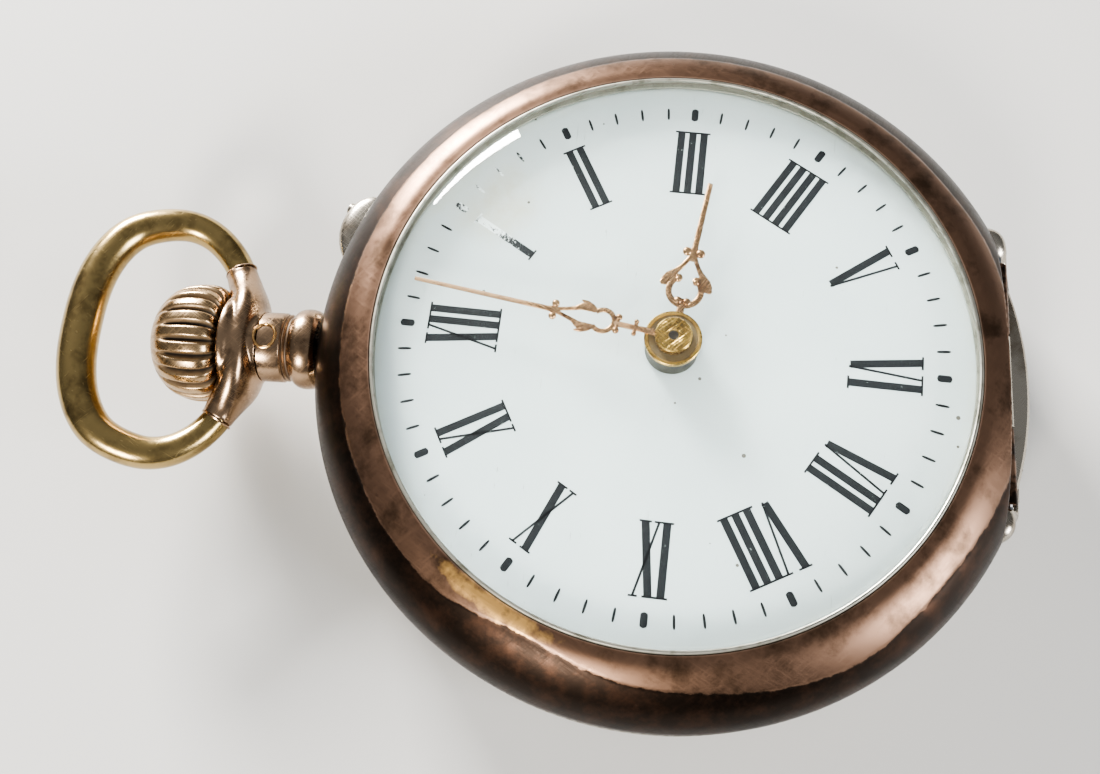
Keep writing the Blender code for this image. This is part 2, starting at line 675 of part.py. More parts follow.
def barrel_group():
    bx, by = BARREL
    pitch_r = hypot(bx, by) * BARREL_TEETH / (BARREL_TEETH + CENTRE_PINION)
    drum = finish("barrel", placed(gear(BARREL_TEETH, pitch_r, 0.0, 5.85, 6.2, 6.45),
                                   at(bx, by)), "gilt", (bx, by, 5.0))
    join(drum, placed(lathe([(6.4, 5.0), (6.65, 5.0), (6.65, 6.4), (0.85, 6.4), (0.85, 6.1),
                             (6.4, 6.1)], 16), at(bx, by)))
    finish("barrel_lid", placed(lathe([(0.85, 4.95), (6.3, 4.95), (6.3, 5.12), (0.85, 5.12)],
                                      16), at(bx, by)), "gilt", (bx, by, 5.0))
    turns, steps = 3.0, 36
    inner, outer = [], []
    for i in range(steps + 1):
        a = TURN * turns * i / steps
        r = 3.0 + 2.9 * i / steps
        inner.append((r * cos(a), r * sin(a)))
        outer.append(((r + 0.22) * cos(a), (r + 0.22) * sin(a)))
    finish("mainspring", placed(prism(outer + inner[::-1], 5.25, 6.0), at(bx, by)), "blued_steel",
           (bx, by, 5.0))
    finish("barrel_arbor", placed(lathe([
        (0, 2.7), (0.55, 2.7), (0.55, 5.2), (1.6, 5.25), (1.6, 6.0), (0.65, 6.05), (0.65, 7.3),
        (0, 7.3)], 10), at(bx, by)), "steel", (bx, by, 5.0))


def winding_wheels():
    """Crown wheel and ratchet wheel, flat on the back of the barrel bridge."""
    cx, cy = CROWN_WHEEL
    bx, by = BARREL
    low, high = 2.66, 2.98
    distance = hypot(bx - cx, by - cy)
    crown_r = distance * 32 / 80
    finish("crown_wheel", placed(gear(32, crown_r, 0.0, low, high, 0.6), at(cx, cy)), "steel",
           (cx, cy, high))
    phase = meshing_phase(0.0, 32, CROWN_WHEEL, 48, BARREL)
    finish("ratchet_wheel", placed(gear(48, distance - crown_r, phase, low, high, 0.62),
                                   at(bx, by)), "steel", (bx, by, high))
    screw("crown_wheel_screw", CROWN_WHEEL, 2.52, 1.2, 0.5, 3.6)
    nose = polar(3.0, 5.25, BARREL)
    finish("click", prism(capsule(CLICK, 0.85, nose, 0.22, 7), low, high,
                          [circle(CLICK, 0.42, 10)]), "steel", (*CLICK, high))
    spring = [(13.3, 3.0), (14.0, 3.0), (13.4, 6.4), (13.15, 6.6), (12.95, 6.4)]
    finish("click_spring", prism(spring, low + 0.05, high), "blued_steel")
    screw("click_screw", CLICK, 2.51, 0.75, 0.36, 3.5)


def screw(name, spot, top, head_r, shank_r, end):
    """A screw with its head at the low side and its shank reaching up to end."""
    profile = [(0, top), (head_r - 0.08, top), (head_r, top + 0.06), (head_r, top + 0.13),
               (shank_r, top + 0.13), (shank_r, end), (0, end)]
    finish(name, placed(lathe(profile, 8), at(*spot)), "blued_steel", (*spot, top))


def bridge_screws():
    for letter, angle in zip("abcd", BARREL_SCREW_ANGLES + TRAIN_SCREW_ANGLES):
        screw("bridge_screw_" + letter, polar(angle, SCREW_RING_R), 2.94, 1.0, 0.42, 4.1)
    screw("cock_screw", COCK_FOOT, 2.7, 1.0, 0.42, 4.6)


def arbor(profile, spot, name, colour="steel", segments=8):
    return finish(name, placed(lathe(profile, segments), at(*spot)), colour, (*spot, 5.0))


def going_train(places):
    """Centre, third, fourth and escape wheels, each with its pinion and arbor."""
    third, fourth, escape = places[:3]
    phase = meshing_phase(0.0, BARREL_TEETH, BARREL, CENTRE_PINION, CENTRE)
    wheel = arbor([(0, 2.9), (0.5, 2.9), (0.5, 7.2), (0.42, 7.3), (0.42, 11.93), (0, 11.93)],
                  CENTRE, "centre_wheel", "gilt")
    pinion_r = hypot(*BARREL) * CENTRE_PINION / (BARREL_TEETH + CENTRE_PINION)
    join(wheel, gear(CENTRE_PINION, pinion_r, phase, 5.75, 6.35))
    join(wheel, gear(CENTRE_TEETH, CENTRE_PITCH_R, phase, 4.5, 4.72, 0.3, 5))
    last_phase = meshing_phase(phase, CENTRE_TEETH, CENTRE, THIRD_PINION, third)
    wheel = arbor([(0, 3.3), (0.2, 3.3), (0.2, 4.0), (0.4, 4.3), (0.4, 6.4), (0.2, 6.5),
                   (0.2, 7.4), (0, 7.4)], third, "third_wheel", "gilt")
    join(wheel, placed(gear(THIRD_PINION, THIRD_PINION_R, last_phase, 4.45, 4.8), at(*third)))
    join(wheel, placed(gear(THIRD_TEETH, THIRD_PITCH_R, last_phase, 5.35, 5.52, 0.3, 4), at(*third)))
    phase = meshing_phase(last_phase, THIRD_TEETH, third, FOURTH_PINION, fourth)
    wheel = arbor([(0, 3.3), (0.2, 3.3), (0.2, 4.0), (0.35, 4.3), (0.35, 6.4), (0.2, 6.5),
                   (0.2, 7.4), (0, 7.4)], fourth, "fourth_wheel", "gilt")
    join(wheel, placed(gear(FOURTH_PINION, FOURTH_PINION_R, phase, 5.3, 5.6), at(*fourth)))
    join(wheel, placed(gear(FOURTH_TEETH, FOURTH_PITCH_R, phase, 4.98, 5.12, 0.25, 4, 0.6), at(*fourth)))
    last_phase = meshing_phase(phase, FOURTH_TEETH, fourth, ESCAPE_PINION, escape)
    wheel = arbor([(0, 4.5), (0.15, 4.5), (0.25, 4.85), (0.25, 6.4), (0.15, 6.5), (0.15, 7.4),
                   (0, 7.4)], escape, "escape_wheel", "steel")
    join(wheel, placed(gear(ESCAPE_PINION, ESCAPE_PINION_R, last_phase, 4.88, 5.25), at(*escape)))
    teeth = []
    for i in range(15):
        a = 24.0 * i
        teeth += [polar(a, 1.95), polar(a + 6, 1.95), polar(a + 13, 2.55), polar(a + 17, 2.5)]
    holes = [window(0.75, 1.6, 120 * i + 15, 120 * i + 105) for i in range(3)]
    join(wheel, placed(prism(teeth, 5.75, 6.0, holes), at(*escape)))


def balance_group(places):
    balance = places[3]
    rim_out, rim_in = 6.0, 5.3
    holes = [window(0.75, rim_in, 120 * i + 8, 120 * i + 112, 6) for i in range(3)]
    wheel = finish("balance_wheel", placed(prism(circle((0, 0), rim_out, 28), 3.62, 3.95, holes),
                                           at(*balance)), "gilt", (*balance, 3.8))
    join(wheel, placed(lathe([(0, 2.92), (0.12, 2.92), (0.32, 3.4), (0.32, 7.4), (0, 7.5)], 10),
                       at(*balance)))
    turns, steps = 4.0, 44
    inner, outer = [], []
    for i in range(steps + 1):
        a = TURN * turns * i / steps
        r = 0.75 + 2.0 * i / steps
        inner.append((r * cos(a), r * sin(a)))
        outer.append(((r + 0.12) * cos(a), (r + 0.12) * sin(a)))
    finish("hairspring", placed(prism(outer + inner[::-1], 3.36, 3.5), at(*balance)),
           "blued_steel", (*balance, 3.4))
    ring = prism(circle((0, 0), 1.75, 18), 2.6, 2.8, [circle((0, 0), 0.95, 14)])
    index = finish("regulator", placed(ring, at(*balance)), "steel", (*balance, 2.7))
    tip = polar(60.0, 5.2)
    join(index, placed(prism(capsule(polar(60.0, 1.45), 0.38, tip, 0.16, 5), 2.62, 2.78),
                       at(*balance)))
    finish("balance_cap", placed(lathe([(0, 2.56), (0.6, 2.56), (0.85, 2.66), (0.85, 2.82),
                                        (0, 2.82)], 14), at(*balance)), "ruby")


def jewels(places):
    """The rubies that show in the bridge, each with its oil sink."""
    for name, spot in (("third_jewel", places[0]), ("fourth_jewel", places[1])):
        finish(name, placed(lathe([(0.24, 3.3), (0.24, 3.9), (0.58, 3.9), (0.58, 3.12),
                                   (0.45, 3.12)], 8), at(*spot)), "ruby")


def motion_work(places):
    """Cannon pinion, minute wheel and hour wheel, in the recess under the dial."""
    minute = places[4]
    finish("cannon_pinion", gear(10, 1.0, 0.0, 7.45, 7.75, 0.5), "steel", (0, 0, 7.5))
    tube = bpy.data.objects["cannon_pinion"]
    join(tube, rod(0.68, 7.6, 11.9, 12, 0.5))
    phase = meshing_phase(0.0, 10, CENTRE, 30, minute)
    wheel = finish("minute_wheel", placed(gear(30, 3.0, phase, 7.5, 7.68, 0.3), at(*minute)),
                   "gilt", (*minute, 7.5))
    join(wheel, placed(gear(8, 0.8, phase, 7.6, 8.25, 0.3), at(*minute)))
    finish("minute_wheel_post", placed(rod(0.25, 6.7, 8.5, 10), at(*minute)), "steel")
    hour_phase = meshing_phase(phase, 8, minute, 32, CENTRE)
    hour = finish("hour_wheel", gear(32, 3.2, hour_phase, 7.95, 8.2, 0.78), "gilt", (0, 0, 7.5))
    join(hour, rod(1.02, 8.0, 11.1, 12, 0.78))


# --- dial and hands ------------------------------------------------------------
def dial():
    low = DIAL_Z - DIAL_T
    finish("dial", lathe([(1.3, low), (DIAL_R - 0.1, low), (DIAL_R, low + 0.15),
                          (DIAL_R, DIAL_Z - 0.2), (DIAL_R - 0.25, DIAL_Z), (1.3, DIAL_Z)]), "enamel")


def hand_outline(length, boss, ring_at, ring_r, flip):
    """Half of a pierced Louis hand, from the boss to the tip, as (along, across) points."""
    return [(boss * 0.9, 0.42), (boss + 0.6, 0.36), (ring_at - ring_r - 0.25, 0.3),
            (ring_at - ring_r * 0.8, ring_r * 0.75), (ring_at, ring_r),
            (ring_at + ring_r * 0.9, ring_r * 0.8), (ring_at + ring_r * 1.7, 0.28),
            (ring_at + ring_r * 2.0, 0.55), (ring_at + ring_r * 2.4, 0.25), (length, flip)]


def hand(name, length, angle, heights, drop, boss_top, boss, bore, ring_at, ring_r, tip):
    """A pierced hand with a round boss, pointing clockwise angle from the pendant."""
    half = hand_outline(length, boss, ring_at, ring_r, tip)
    outline = [(y, x) for x, y in half] + [(-y, x) for x, y in reversed(half)]
    low, high = heights
    pierced = circle((0, ring_at), ring_r * 0.52, 12)
    blade = prism(outline, low, high, [pierced])
    body = finish(name, rod(boss, low, boss_top, 16, bore), "hand_gold", (0, 0, low))
    slope = Matrix.Identity(4)
    slope[2][1] = -drop / length
    join(body, placed(blade, Matrix.Rotation(radians(-angle), 4, "Z") @ slope))
    return body


def hands():
    hand("hour_hand", HOUR_HAND_LENGTH, HOUR_HAND_ANGLE, HOUR_HAND_Z, HAND_DROP[0],
         HAND_BOSS_TOP[0], 1.75, 1.07, 4.2, 1.3, 0.08)
    hand("minute_hand", MINUTE_HAND_LENGTH, MINUTE_HAND_ANGLE, MINUTE_HAND_Z, HAND_DROP[1],
         HAND_BOSS_TOP[1], 1.15, 0.73, 5.0, 0.75, 0.06)


def main():
    clear_scene()
    case_band()
    hinge_pins()
    bezel()
    crystal()
    back_cover()
    cuvette()
    pendant()
    bow()
    crown()
    winding_stem()
    guard_lug()
    setting()
    places = train_layout()
    main_plate(places)
    barrel_bridge()
    train_bridge(places)
    escape_cock(places)
    balance_cock(places)
    barrel_group()
    winding_wheels()
    bridge_screws()
    going_train(places)
    balance_group(places)
    jewels(places)
    motion_work(places)
    dial()
    hands()


main()
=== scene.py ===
"""Looks of the open face pocket watch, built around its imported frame.

The frame's origin is the middle of the flat pad under the back cover: +Z points out of the dial,
+Y to the pendant and +X to three o'clock. Shapes are worked out in millimetres and turned to
metres when a mesh is made. A clock angle runs clockwise from the pendant, in degrees.
"""
import json
import logging
from dataclasses import dataclass, field
from enum import Enum
from typing import Sequence

import bmesh
import bpy
import numpy as np
from mathutils import Matrix, Vector


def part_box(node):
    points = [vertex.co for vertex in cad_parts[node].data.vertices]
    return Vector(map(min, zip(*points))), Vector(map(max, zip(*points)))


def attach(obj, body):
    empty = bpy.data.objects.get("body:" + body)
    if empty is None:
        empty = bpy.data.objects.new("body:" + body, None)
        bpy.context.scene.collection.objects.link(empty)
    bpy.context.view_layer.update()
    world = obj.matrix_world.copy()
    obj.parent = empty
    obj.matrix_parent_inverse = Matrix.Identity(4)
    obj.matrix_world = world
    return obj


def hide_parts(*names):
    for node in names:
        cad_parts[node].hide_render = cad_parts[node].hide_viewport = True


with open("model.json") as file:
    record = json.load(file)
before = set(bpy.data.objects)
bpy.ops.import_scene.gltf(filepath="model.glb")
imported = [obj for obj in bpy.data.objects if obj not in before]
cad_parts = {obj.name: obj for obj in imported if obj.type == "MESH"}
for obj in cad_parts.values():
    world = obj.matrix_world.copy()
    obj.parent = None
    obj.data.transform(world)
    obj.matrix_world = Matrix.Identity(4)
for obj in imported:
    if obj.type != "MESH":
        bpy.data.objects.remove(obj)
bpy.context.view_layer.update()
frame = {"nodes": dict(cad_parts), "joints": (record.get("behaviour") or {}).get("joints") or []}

Array = np.ndarray
MM = 0.001
PER_MM = 1000.0          # turns object coordinates in metres to millimetres
TURN = 2 * np.pi
Z_AXIS = (0.0, 0.0, 1.0)
log = logging.getLogger("watch")


# --- sizes read from the frame --------------------------------------------------
def span(node: str) -> tuple[Array, Array]:
    """Lowest and highest corner of a CAD node, in mm.

    Args:
        node: the node's name.
    Returns:
        the two corners.
    """
    low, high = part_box(node)
    return np.array(low) * PER_MM, np.array(high) * PER_MM


def pivot(joint: str) -> Array:
    """The place of a joint's axis, in mm."""
    place = next(j["pos_m"] for j in frame["joints"] if j["name"] == joint)
    return np.array(place) * PER_MM


def clock(angle: float, radius: float) -> tuple[float, float]:
    """The (x, y) of a clock angle in degrees at a radius."""
    a = np.radians(angle)
    return radius * np.sin(a), radius * np.cos(a)


DIAL_TURN = 2.8          # the dial stands this many degrees clockwise of the pendant
DIAL_TOP = span("dial")[1][2]
CASE_R = span("case_band")[1][0]
LIP_TOP = span("bezel")[1][2]
STEM_Z = pivot("crown_turn")[2]
BOW_PIVOT = pivot("bow_swing")


# --- surfaces --------------------------------------------------------------------
@dataclass
class Shell:
    """One closed surface: points in mm, quads of point numbers, and named values per point."""

    points: Array
    quads: Array
    marks: dict[str, Array] = field(default_factory=dict)

    def moved(self, matrix: Matrix) -> "Shell":
        """The same surface after a matrix in mm."""
        m = np.array(matrix)
        return Shell(self.points @ m[:3, :3].T + m[:3, 3], self.quads, self.marks)

    def mirrored(self, axis: int) -> "Shell":
        """The surface mirrored in the plane where one coordinate is zero."""
        points = self.points.copy()
        points[:, axis] *= -1
        return Shell(points, self.quads[:, ::-1], self.marks)


def skin(grid: Array, marks: dict[str, Array] | None = None) -> Shell:
    """A surface of quads over a grid of points whose rows are rings.

    Args:
        grid: points as (rows, columns, 3); the last column joins the first.
        marks: values per point as (rows, columns).
    Returns:
        the surface, open at its first and last row unless those are single points.
    """
    rows, columns = grid.shape[:2]
    index = np.arange(rows * columns).reshape(rows, columns)
    ring = np.concatenate([index, index[:, :1]], axis=1)
    quads = np.stack([ring[:-1, :-1], ring[:-1, 1:], ring[1:, 1:], ring[1:, :-1]], axis=-1)
    flat = {name: values.reshape(-1) for name, values in (marks or {}).items()}
    return Shell(grid.reshape(-1, 3), quads.reshape(-1, 4), flat)


def flowing(points: Sequence, samples: int) -> Array:
    """Samples along the smooth Catmull-Rom curve through a few points.

    Each span is the cubic whose end slopes are half the chord between the neighbours.

    Args:
        points: the points that the curve passes.
        samples: how many samples to take.
    Returns:
        the samples, one row each.
    """
    p = np.asarray(points, float)
    ends = np.vstack([2 * p[0] - p[1], p, 2 * p[-1] - p[-2]])
    t = np.linspace(0, len(p) - 1, samples)
    k = np.minimum(t.astype(int), len(p) - 2)
    u = (t - k)[:, None]
    a, b, c, d = ends[k], ends[k + 1], ends[k + 2], ends[k + 3]
    return 0.5 * (2 * b + (c - a) * u + (2 * a - 5 * b + 4 * c - d) * u**2
                  + (3 * b - a - 3 * c + d) * u**3)


def turned(profile: Array, columns: int = 256, shut: bool = True) -> Shell:
    """A profile of (radius, height) turned round Z.

    A point is (r sin a, r cos a, h).

    Args:
        profile: (radius, height) of each row, mm.
        columns: points round the axis.
        shut: whether the last row joins the first, as on a ring.
    Returns:
        the surface of revolution.
    """
    profile = np.asarray(profile, float)
    if shut:
        profile = np.vstack([profile, profile[:1]])
    a = np.arange(columns) * TURN / columns
    r, h = profile[:, :1], profile[:, 1:]
    return skin(np.stack([r * np.sin(a), r * np.cos(a), h + 0 * a], axis=-1))


def sweep(path: Array, half_width: Array | float, half_height: Array | float,
          up: Sequence[float] = Z_AXIS, sides: int = 16, square: float = 2.0) -> Shell:
    """A superellipse carried along a path, closed at both ends.

    The section at a point is (w |cos t|^(2/s), h |sin t|^(2/s)) in the plane across the path.

    Args:
        path: points of the centre line, mm.
        half_width: half the section's width across up, one number or one per point.
        half_height: half the section's height along up.
        up: direction that the section's height follows.
        sides: points round the section.
        square: 2 for an ellipse, more for a squarer section.
    Returns:
        the closed surface.
    """
    path = np.asarray(path, float)
    along = np.gradient(path, axis=0)
    along /= np.linalg.norm(along, axis=1, keepdims=True)
    side = np.cross(along, np.asarray(up, float))
    side /= np.linalg.norm(side, axis=1, keepdims=True)
    lift = np.cross(side, along)
    t = np.arange(sides) * TURN / sides
    across = np.sign(np.cos(t)) * np.abs(np.cos(t)) ** (2 / square)
    rise = np.sign(np.sin(t)) * np.abs(np.sin(t)) ** (2 / square)
    w = np.broadcast_to(half_width, len(path))[:, None, None]
    h = np.broadcast_to(half_height, len(path))[:, None, None]
    grid = (path[:, None] + w * across[None, :, None] * side[:, None]
            + h * rise[None, :, None] * lift[:, None])
    first = np.broadcast_to(path[:1, None], (1, sides, 3))
    last = np.broadcast_to(path[-1:, None], (1, sides, 3))
    return skin(np.concatenate([first, grid, last]))


def ball(centre: Sequence[float], radii: Sequence[float], rows: int = 10,
         columns: int = 16) -> Shell:
    """An ellipsoid: (a sin p cos q, b sin p sin q, c cos p) about its centre.

    Args:
        centre: its middle, mm.
        radii: its half axes a, b and c.
        rows: rings from pole to pole.
        columns: points in a ring.
    Returns:
        the closed surface.
    """
    p = np.linspace(0, np.pi, rows)[:, None]
    q = np.arange(columns)[None] * TURN / columns
    unit = np.stack([np.sin(p) * np.cos(q), np.sin(p) * np.sin(q), np.cos(p) + 0 * q], axis=-1)
    return skin(np.asarray(centre, float) + unit * np.asarray(radii, float))


def wander(angle: Array, seed: int, waves: int = 7, first: int = 3) -> Array:
    """A smooth wandering line round a circle: a sum of sines with falling strength.

    Args:
        angle: where to read it, radians.
        seed: picks the orders and phases.
        waves: how many sines.
        first: lowest order.
    Returns:
        the line's offset at each angle.
    """
    rng = np.random.default_rng(seed)
    total = np.zeros_like(angle)
    for k in range(waves):
        order = first + k * 2 + int(rng.integers(0, 3))
        total += np.sin(order * angle + rng.uniform(0, TURN)) / (k + 1.5)
    return total


def smoothstep(low: float, high: float, x: Array) -> Array:
    """0 where x is below low, 1 above high, and 3t^2 - 2t^3 between."""
    t = np.clip((x - low) / (high - low), 0, 1)
    return t * t * (3 - 2 * t)


# --- materials ---------------------------------------------------------------------
def linear(colour: str) -> tuple[float, float, float, float]:
    """An sRGB hex colour as linear red, green, blue and alpha."""
    c = np.array([int(colour[i:i + 2], 16) for i in (1, 3, 5)]) / 255
    low, high = c / 12.92, ((c + 0.055) / 1.055) ** 2.4
    return (*np.where(c <= 0.04045, low, high).tolist(), 1.0)


def add_node(tree: bpy.types.NodeTree, kind: str, settings: dict | None = None,
             inputs: dict | None = None) -> bpy.types.Node:
    """Add a node, with its settings and inputs.

    Args:
        tree: the material's node tree.
        kind: the node type's name, without the ShaderNode prefix.
        settings: properties of the node.
        inputs: socket name or number to a constant or to the socket that feeds it.
    Returns:
        the node.
    """
    node = tree.nodes.new("ShaderNode" + kind)
    for name, value in (settings or {}).items():
        setattr(node, name, value)
    for name, value in (inputs or {}).items():
        if isinstance(value, bpy.types.NodeSocket):
            tree.links.new(value, node.inputs[name])
        else:
            node.inputs[name].default_value = value
    return node


def millimetres(tree: bpy.types.NodeTree) -> bpy.types.NodeSocket:
    """Object coordinates in millimetres."""
    place = add_node(tree, "TexCoord").outputs["Object"]
    scale = (PER_MM, PER_MM, PER_MM)
    return add_node(tree, "Mapping", {}, {"Vector": place, "Scale": scale}).outputs[0]


def blank(name: str) -> tuple[bpy.types.Material, bpy.types.NodeTree]:
    """A new material with an empty node tree."""
    made = bpy.data.materials.new(name)
    made.use_nodes = True
    made.node_tree.nodes.clear()
    return made, made.node_tree


class Lay(Enum):
    """Which way the fine marks of a metal's polish run."""

    ROUND = "round the hand axis"
    STRAIGHT = "straight across"
    CROSSED = "every way"


@dataclass(frozen=True)
class Metal:
    """A worked metal: polished high spots, toned flats, and dirt and painted shade in hollows and
    on shaded sides.

    Tone patches come from soft noise, hairlines from noise stretched along the lay, and pits
    from fine noise. A piece may carry a value per point: dirt, and painted shade under lips and on
    turned-down sides.
    """

    name: str
    slot: str
    clean: str
    toned: str
    # dark colour of dirt, also used to paint shade
    dirt_and_shade: str
    tone_mm: float = 3.0          # width of a tone patch
    tone_share: float = 0.5       # 0 all clean, 1 all toned
    rough: tuple[float, float] = (0.2, 0.42)
    hairline_mm: float = 0.12     # spacing of hairlines; real ones are finer than can show
    lay: Lay = Lay.CROSSED
    pits: float = 0.35            # how many dark pits
    relief: float = 0.25          # strength of the bump

    def polar(self, tree: bpy.types.NodeTree, mm: bpy.types.NodeSocket) -> bpy.types.NodeSocket:
        """Coordinates of radius, arc and height, so that noise streaks follow the turning."""
        split = add_node(tree, "SeparateXYZ", {}, {0: mm})
        flat = add_node(tree, "CombineXYZ", {}, {0: split.outputs[0], 1: split.outputs[1]})
        radius = add_node(tree, "VectorMath", {"operation": "LENGTH"}, {0: flat.outputs[0]})
        angle = add_node(tree, "Math", {"operation": "ARCTAN2"},
                         {0: split.outputs[0], 1: split.outputs[1]})
        return add_node(tree, "CombineXYZ", {}, {0: radius.outputs["Value"],
                                                 1: angle.outputs[0],
                                                 2: split.outputs[2]}).outputs[0]

    def hairlines(self, tree: bpy.types.NodeTree, mm: bpy.types.NodeSocket) -> bpy.types.NodeSocket:
        """Fine marks of polishing and wear, 0 to 1."""
        fine, long = 1 / self.hairline_mm, 0.07 / self.hairline_mm
        stretch = {Lay.ROUND: (fine, 1.5, fine), Lay.STRAIGHT: (fine, long, fine),
                   Lay.CROSSED: (fine, long, long)}[self.lay]
        leans = {Lay.ROUND: ((0.0, 0.0, 0.0),), Lay.STRAIGHT: ((0.0, 0.0, 0.0),),
                 Lay.CROSSED: ((0.25, 0.15, 0.6), (-0.3, 0.35, 2.2))}[self.lay]
        place = self.polar(tree, mm) if self.lay is Lay.ROUND else mm
        marks = []
        for lean in leans:
            leant = add_node(tree, "Mapping", {}, {"Vector": place, "Rotation": lean})
            drawn = add_node(tree, "Mapping", {}, {"Vector": leant.outputs[0], "Scale": stretch})
            marks.append(add_node(tree, "TexNoise", {}, {
                "Vector": drawn.outputs[0], "Scale": 1.0, "Detail": 2.0, "Distortion": 1.2}))
        return add_node(tree, "Math", {"operation": "MAXIMUM"},
                        {0: marks[0].outputs[0], 1: marks[-1].outputs[0]}).outputs[0]

    def ground(self, tree: bpy.types.NodeTree, mm: bpy.types.NodeSocket) -> bpy.types.NodeSocket:
        """The colour before pits and grime: clean metal with toned patches."""
        soft = add_node(tree, "TexNoise", {}, {"Vector": mm, "Scale": 1 / self.tone_mm,
                                               "Detail": 6.0, "Roughness": 0.62})
        share = add_node(tree, "MapRange", {}, {
            "Value": soft.outputs[0], "From Min": 0.72 - 0.45 * self.tone_share,
            "From Max": 0.9 - 0.45 * self.tone_share, "To Min": 0.0, "To Max": 1.0})
        return add_node(tree, "Mix", {"data_type": "RGBA"}, {
            "Factor": share.outputs[0], 6: linear(self.clean), 7: linear(self.toned)}).outputs[2]

    def build(self) -> bpy.types.Material:
        """Make the material."""
        made, tree = blank(self.name)
        mm = millimetres(tree)
        colour = self.ground(tree, mm)
        lines = self.hairlines(tree, mm)
        speck = add_node(tree, "TexNoise", {}, {"Vector": mm, "Scale": 2.2, "Detail": 8.0,
                                                "Roughness": 0.75})
        pit = add_node(tree, "MapRange", {}, {"Value": speck.outputs[0],
                                              "From Min": 0.70 - 0.12 * self.pits,
                                              "From Max": 0.78 - 0.12 * self.pits})
        # per-point dirt plus painted shade, mixed towards the dark dirt colour with the pits
        grime = add_node(tree, "Attribute", {"attribute_name": "grime"})
        dirt_and_shade_mask = add_node(tree, "Math", {"operation": "MAXIMUM"},
                        {0: pit.outputs[0], 1: grime.outputs["Fac"]})
        shade = add_node(tree, "Mix", {"data_type": "RGBA"},
                         {"Factor": dirt_and_shade_mask.outputs[0], 6: colour, 7: linear(self.dirt_and_shade)})
        gloss = add_node(tree, "MapRange", {}, {"Value": lines, "From Min": 0.35, "From Max": 0.75,
                                                "To Min": self.rough[0], "To Max": self.rough[1]})
        dull = add_node(tree, "Math", {"operation": "MULTIPLY_ADD"},
                        {0: dirt_and_shade_mask.outputs[0], 1: 0.4, 2: gloss.outputs[0]})
        bare = add_node(tree, "Math", {"operation": "MULTIPLY_ADD", "use_clamp": True},
                        {0: dirt_and_shade_mask.outputs[0], 1: -0.92, 2: 1.0})
        uneven = add_node(tree, "Math", {"operation": "MULTIPLY_ADD"},
                          {0: dirt_and_shade_mask.outputs[0], 1: -1.0, 2: lines})
        bump = add_node(tree, "Bump", {}, {"Height": uneven.outputs[0], "Strength": self.relief,
                                           "Distance": 0.00002})
        body = add_node(tree, "BsdfPrincipled", {}, {"Base Color": shade.outputs[2],
                                                     "Metallic": bare.outputs[0],
                                                     "Roughness": dull.outputs[0],
                                                     "Normal": bump.outputs[0]})
        add_node(tree, "OutputMaterial", {}, {"Surface": body.outputs[0]})
        return made


@dataclass(frozen=True)
class WornGilding(Metal):
    """Rose gilding rubbed by the thumb, with brown patina outside a ragged edge.

    The points carry "inside": how far in mm they lie inside the edge of the rubbed zone, and
    a second value for where the gold is rubbed and a painted highlight of bright gold lies on it.
    """

    patina: str = "#271F1A"
    ember: str = "#402E24"
    # rubbed gold at the colour of a lit highlight: a painted highlight
    rubbed_gold_and_highlight: str = "#F2C078"
    ragged_mm: float = 0.5

    def ground(self, tree: bpy.types.NodeTree, mm: bpy.types.NodeSocket) -> bpy.types.NodeSocket:
        """Rubbed rose gold inside the edge, patina outside it, and a painted highlight of bright
        gold on the rubbed patch.
        """
        gold = super().ground(tree, mm)
        rust = add_node(tree, "TexNoise", {}, {"Vector": mm, "Scale": 0.55, "Detail": 7.0,
                                               "Roughness": 0.7})
        warm = add_node(tree, "MapRange", {}, {"Value": rust.outputs[0], "From Min": 0.45,
                                               "From Max": 0.72})
        brown = add_node(tree, "Mix", {"data_type": "RGBA"}, {
            "Factor": warm.outputs[0], 6: linear(self.patina), 7: linear(self.ember)})
        inside = add_node(tree, "Attribute", {"attribute_name": "inside"})
        torn = add_node(tree, "TexNoise", {}, {"Vector": mm, "Scale": 1.1, "Detail": 7.0,
                                               "Roughness": 0.6})
        ragged = add_node(tree, "Math", {"operation": "MULTIPLY_ADD"},
                          {0: torn.outputs[0], 1: self.ragged_mm, 2: inside.outputs["Fac"]})
        edge = add_node(tree, "MapRange", {}, {
            "Value": ragged.outputs[0], "From Min": self.ragged_mm * 0.5 - 0.03,
            "From Max": self.ragged_mm * 0.5 + 0.05, "To Min": 1.0, "To Max": 0.0})
        worn = add_node(tree, "Mix", {"data_type": "RGBA"},
                        {"Factor": edge.outputs[0], 6: gold, 7: brown.outputs[2]})
        # the rubbed patch, painted bright gold as a highlight
        thumb = add_node(tree, "Attribute", {"attribute_name": "thumb"})
        lit = add_node(tree, "Math", {"operation": "MULTIPLY"},
                       {0: thumb.outputs["Fac"], 1: torn.outputs[0]})
        glow = add_node(tree, "MapRange", {}, {"Value": lit.outputs[0], "From Min": 0.2,
                                               "From Max": 0.42})
        return add_node(tree, "Mix", {"data_type": "RGBA"}, {
            "Factor": glow.outputs[0], 6: worn.outputs[2], 7: linear(self.rubbed_gold_and_highlight)}).outputs[2]


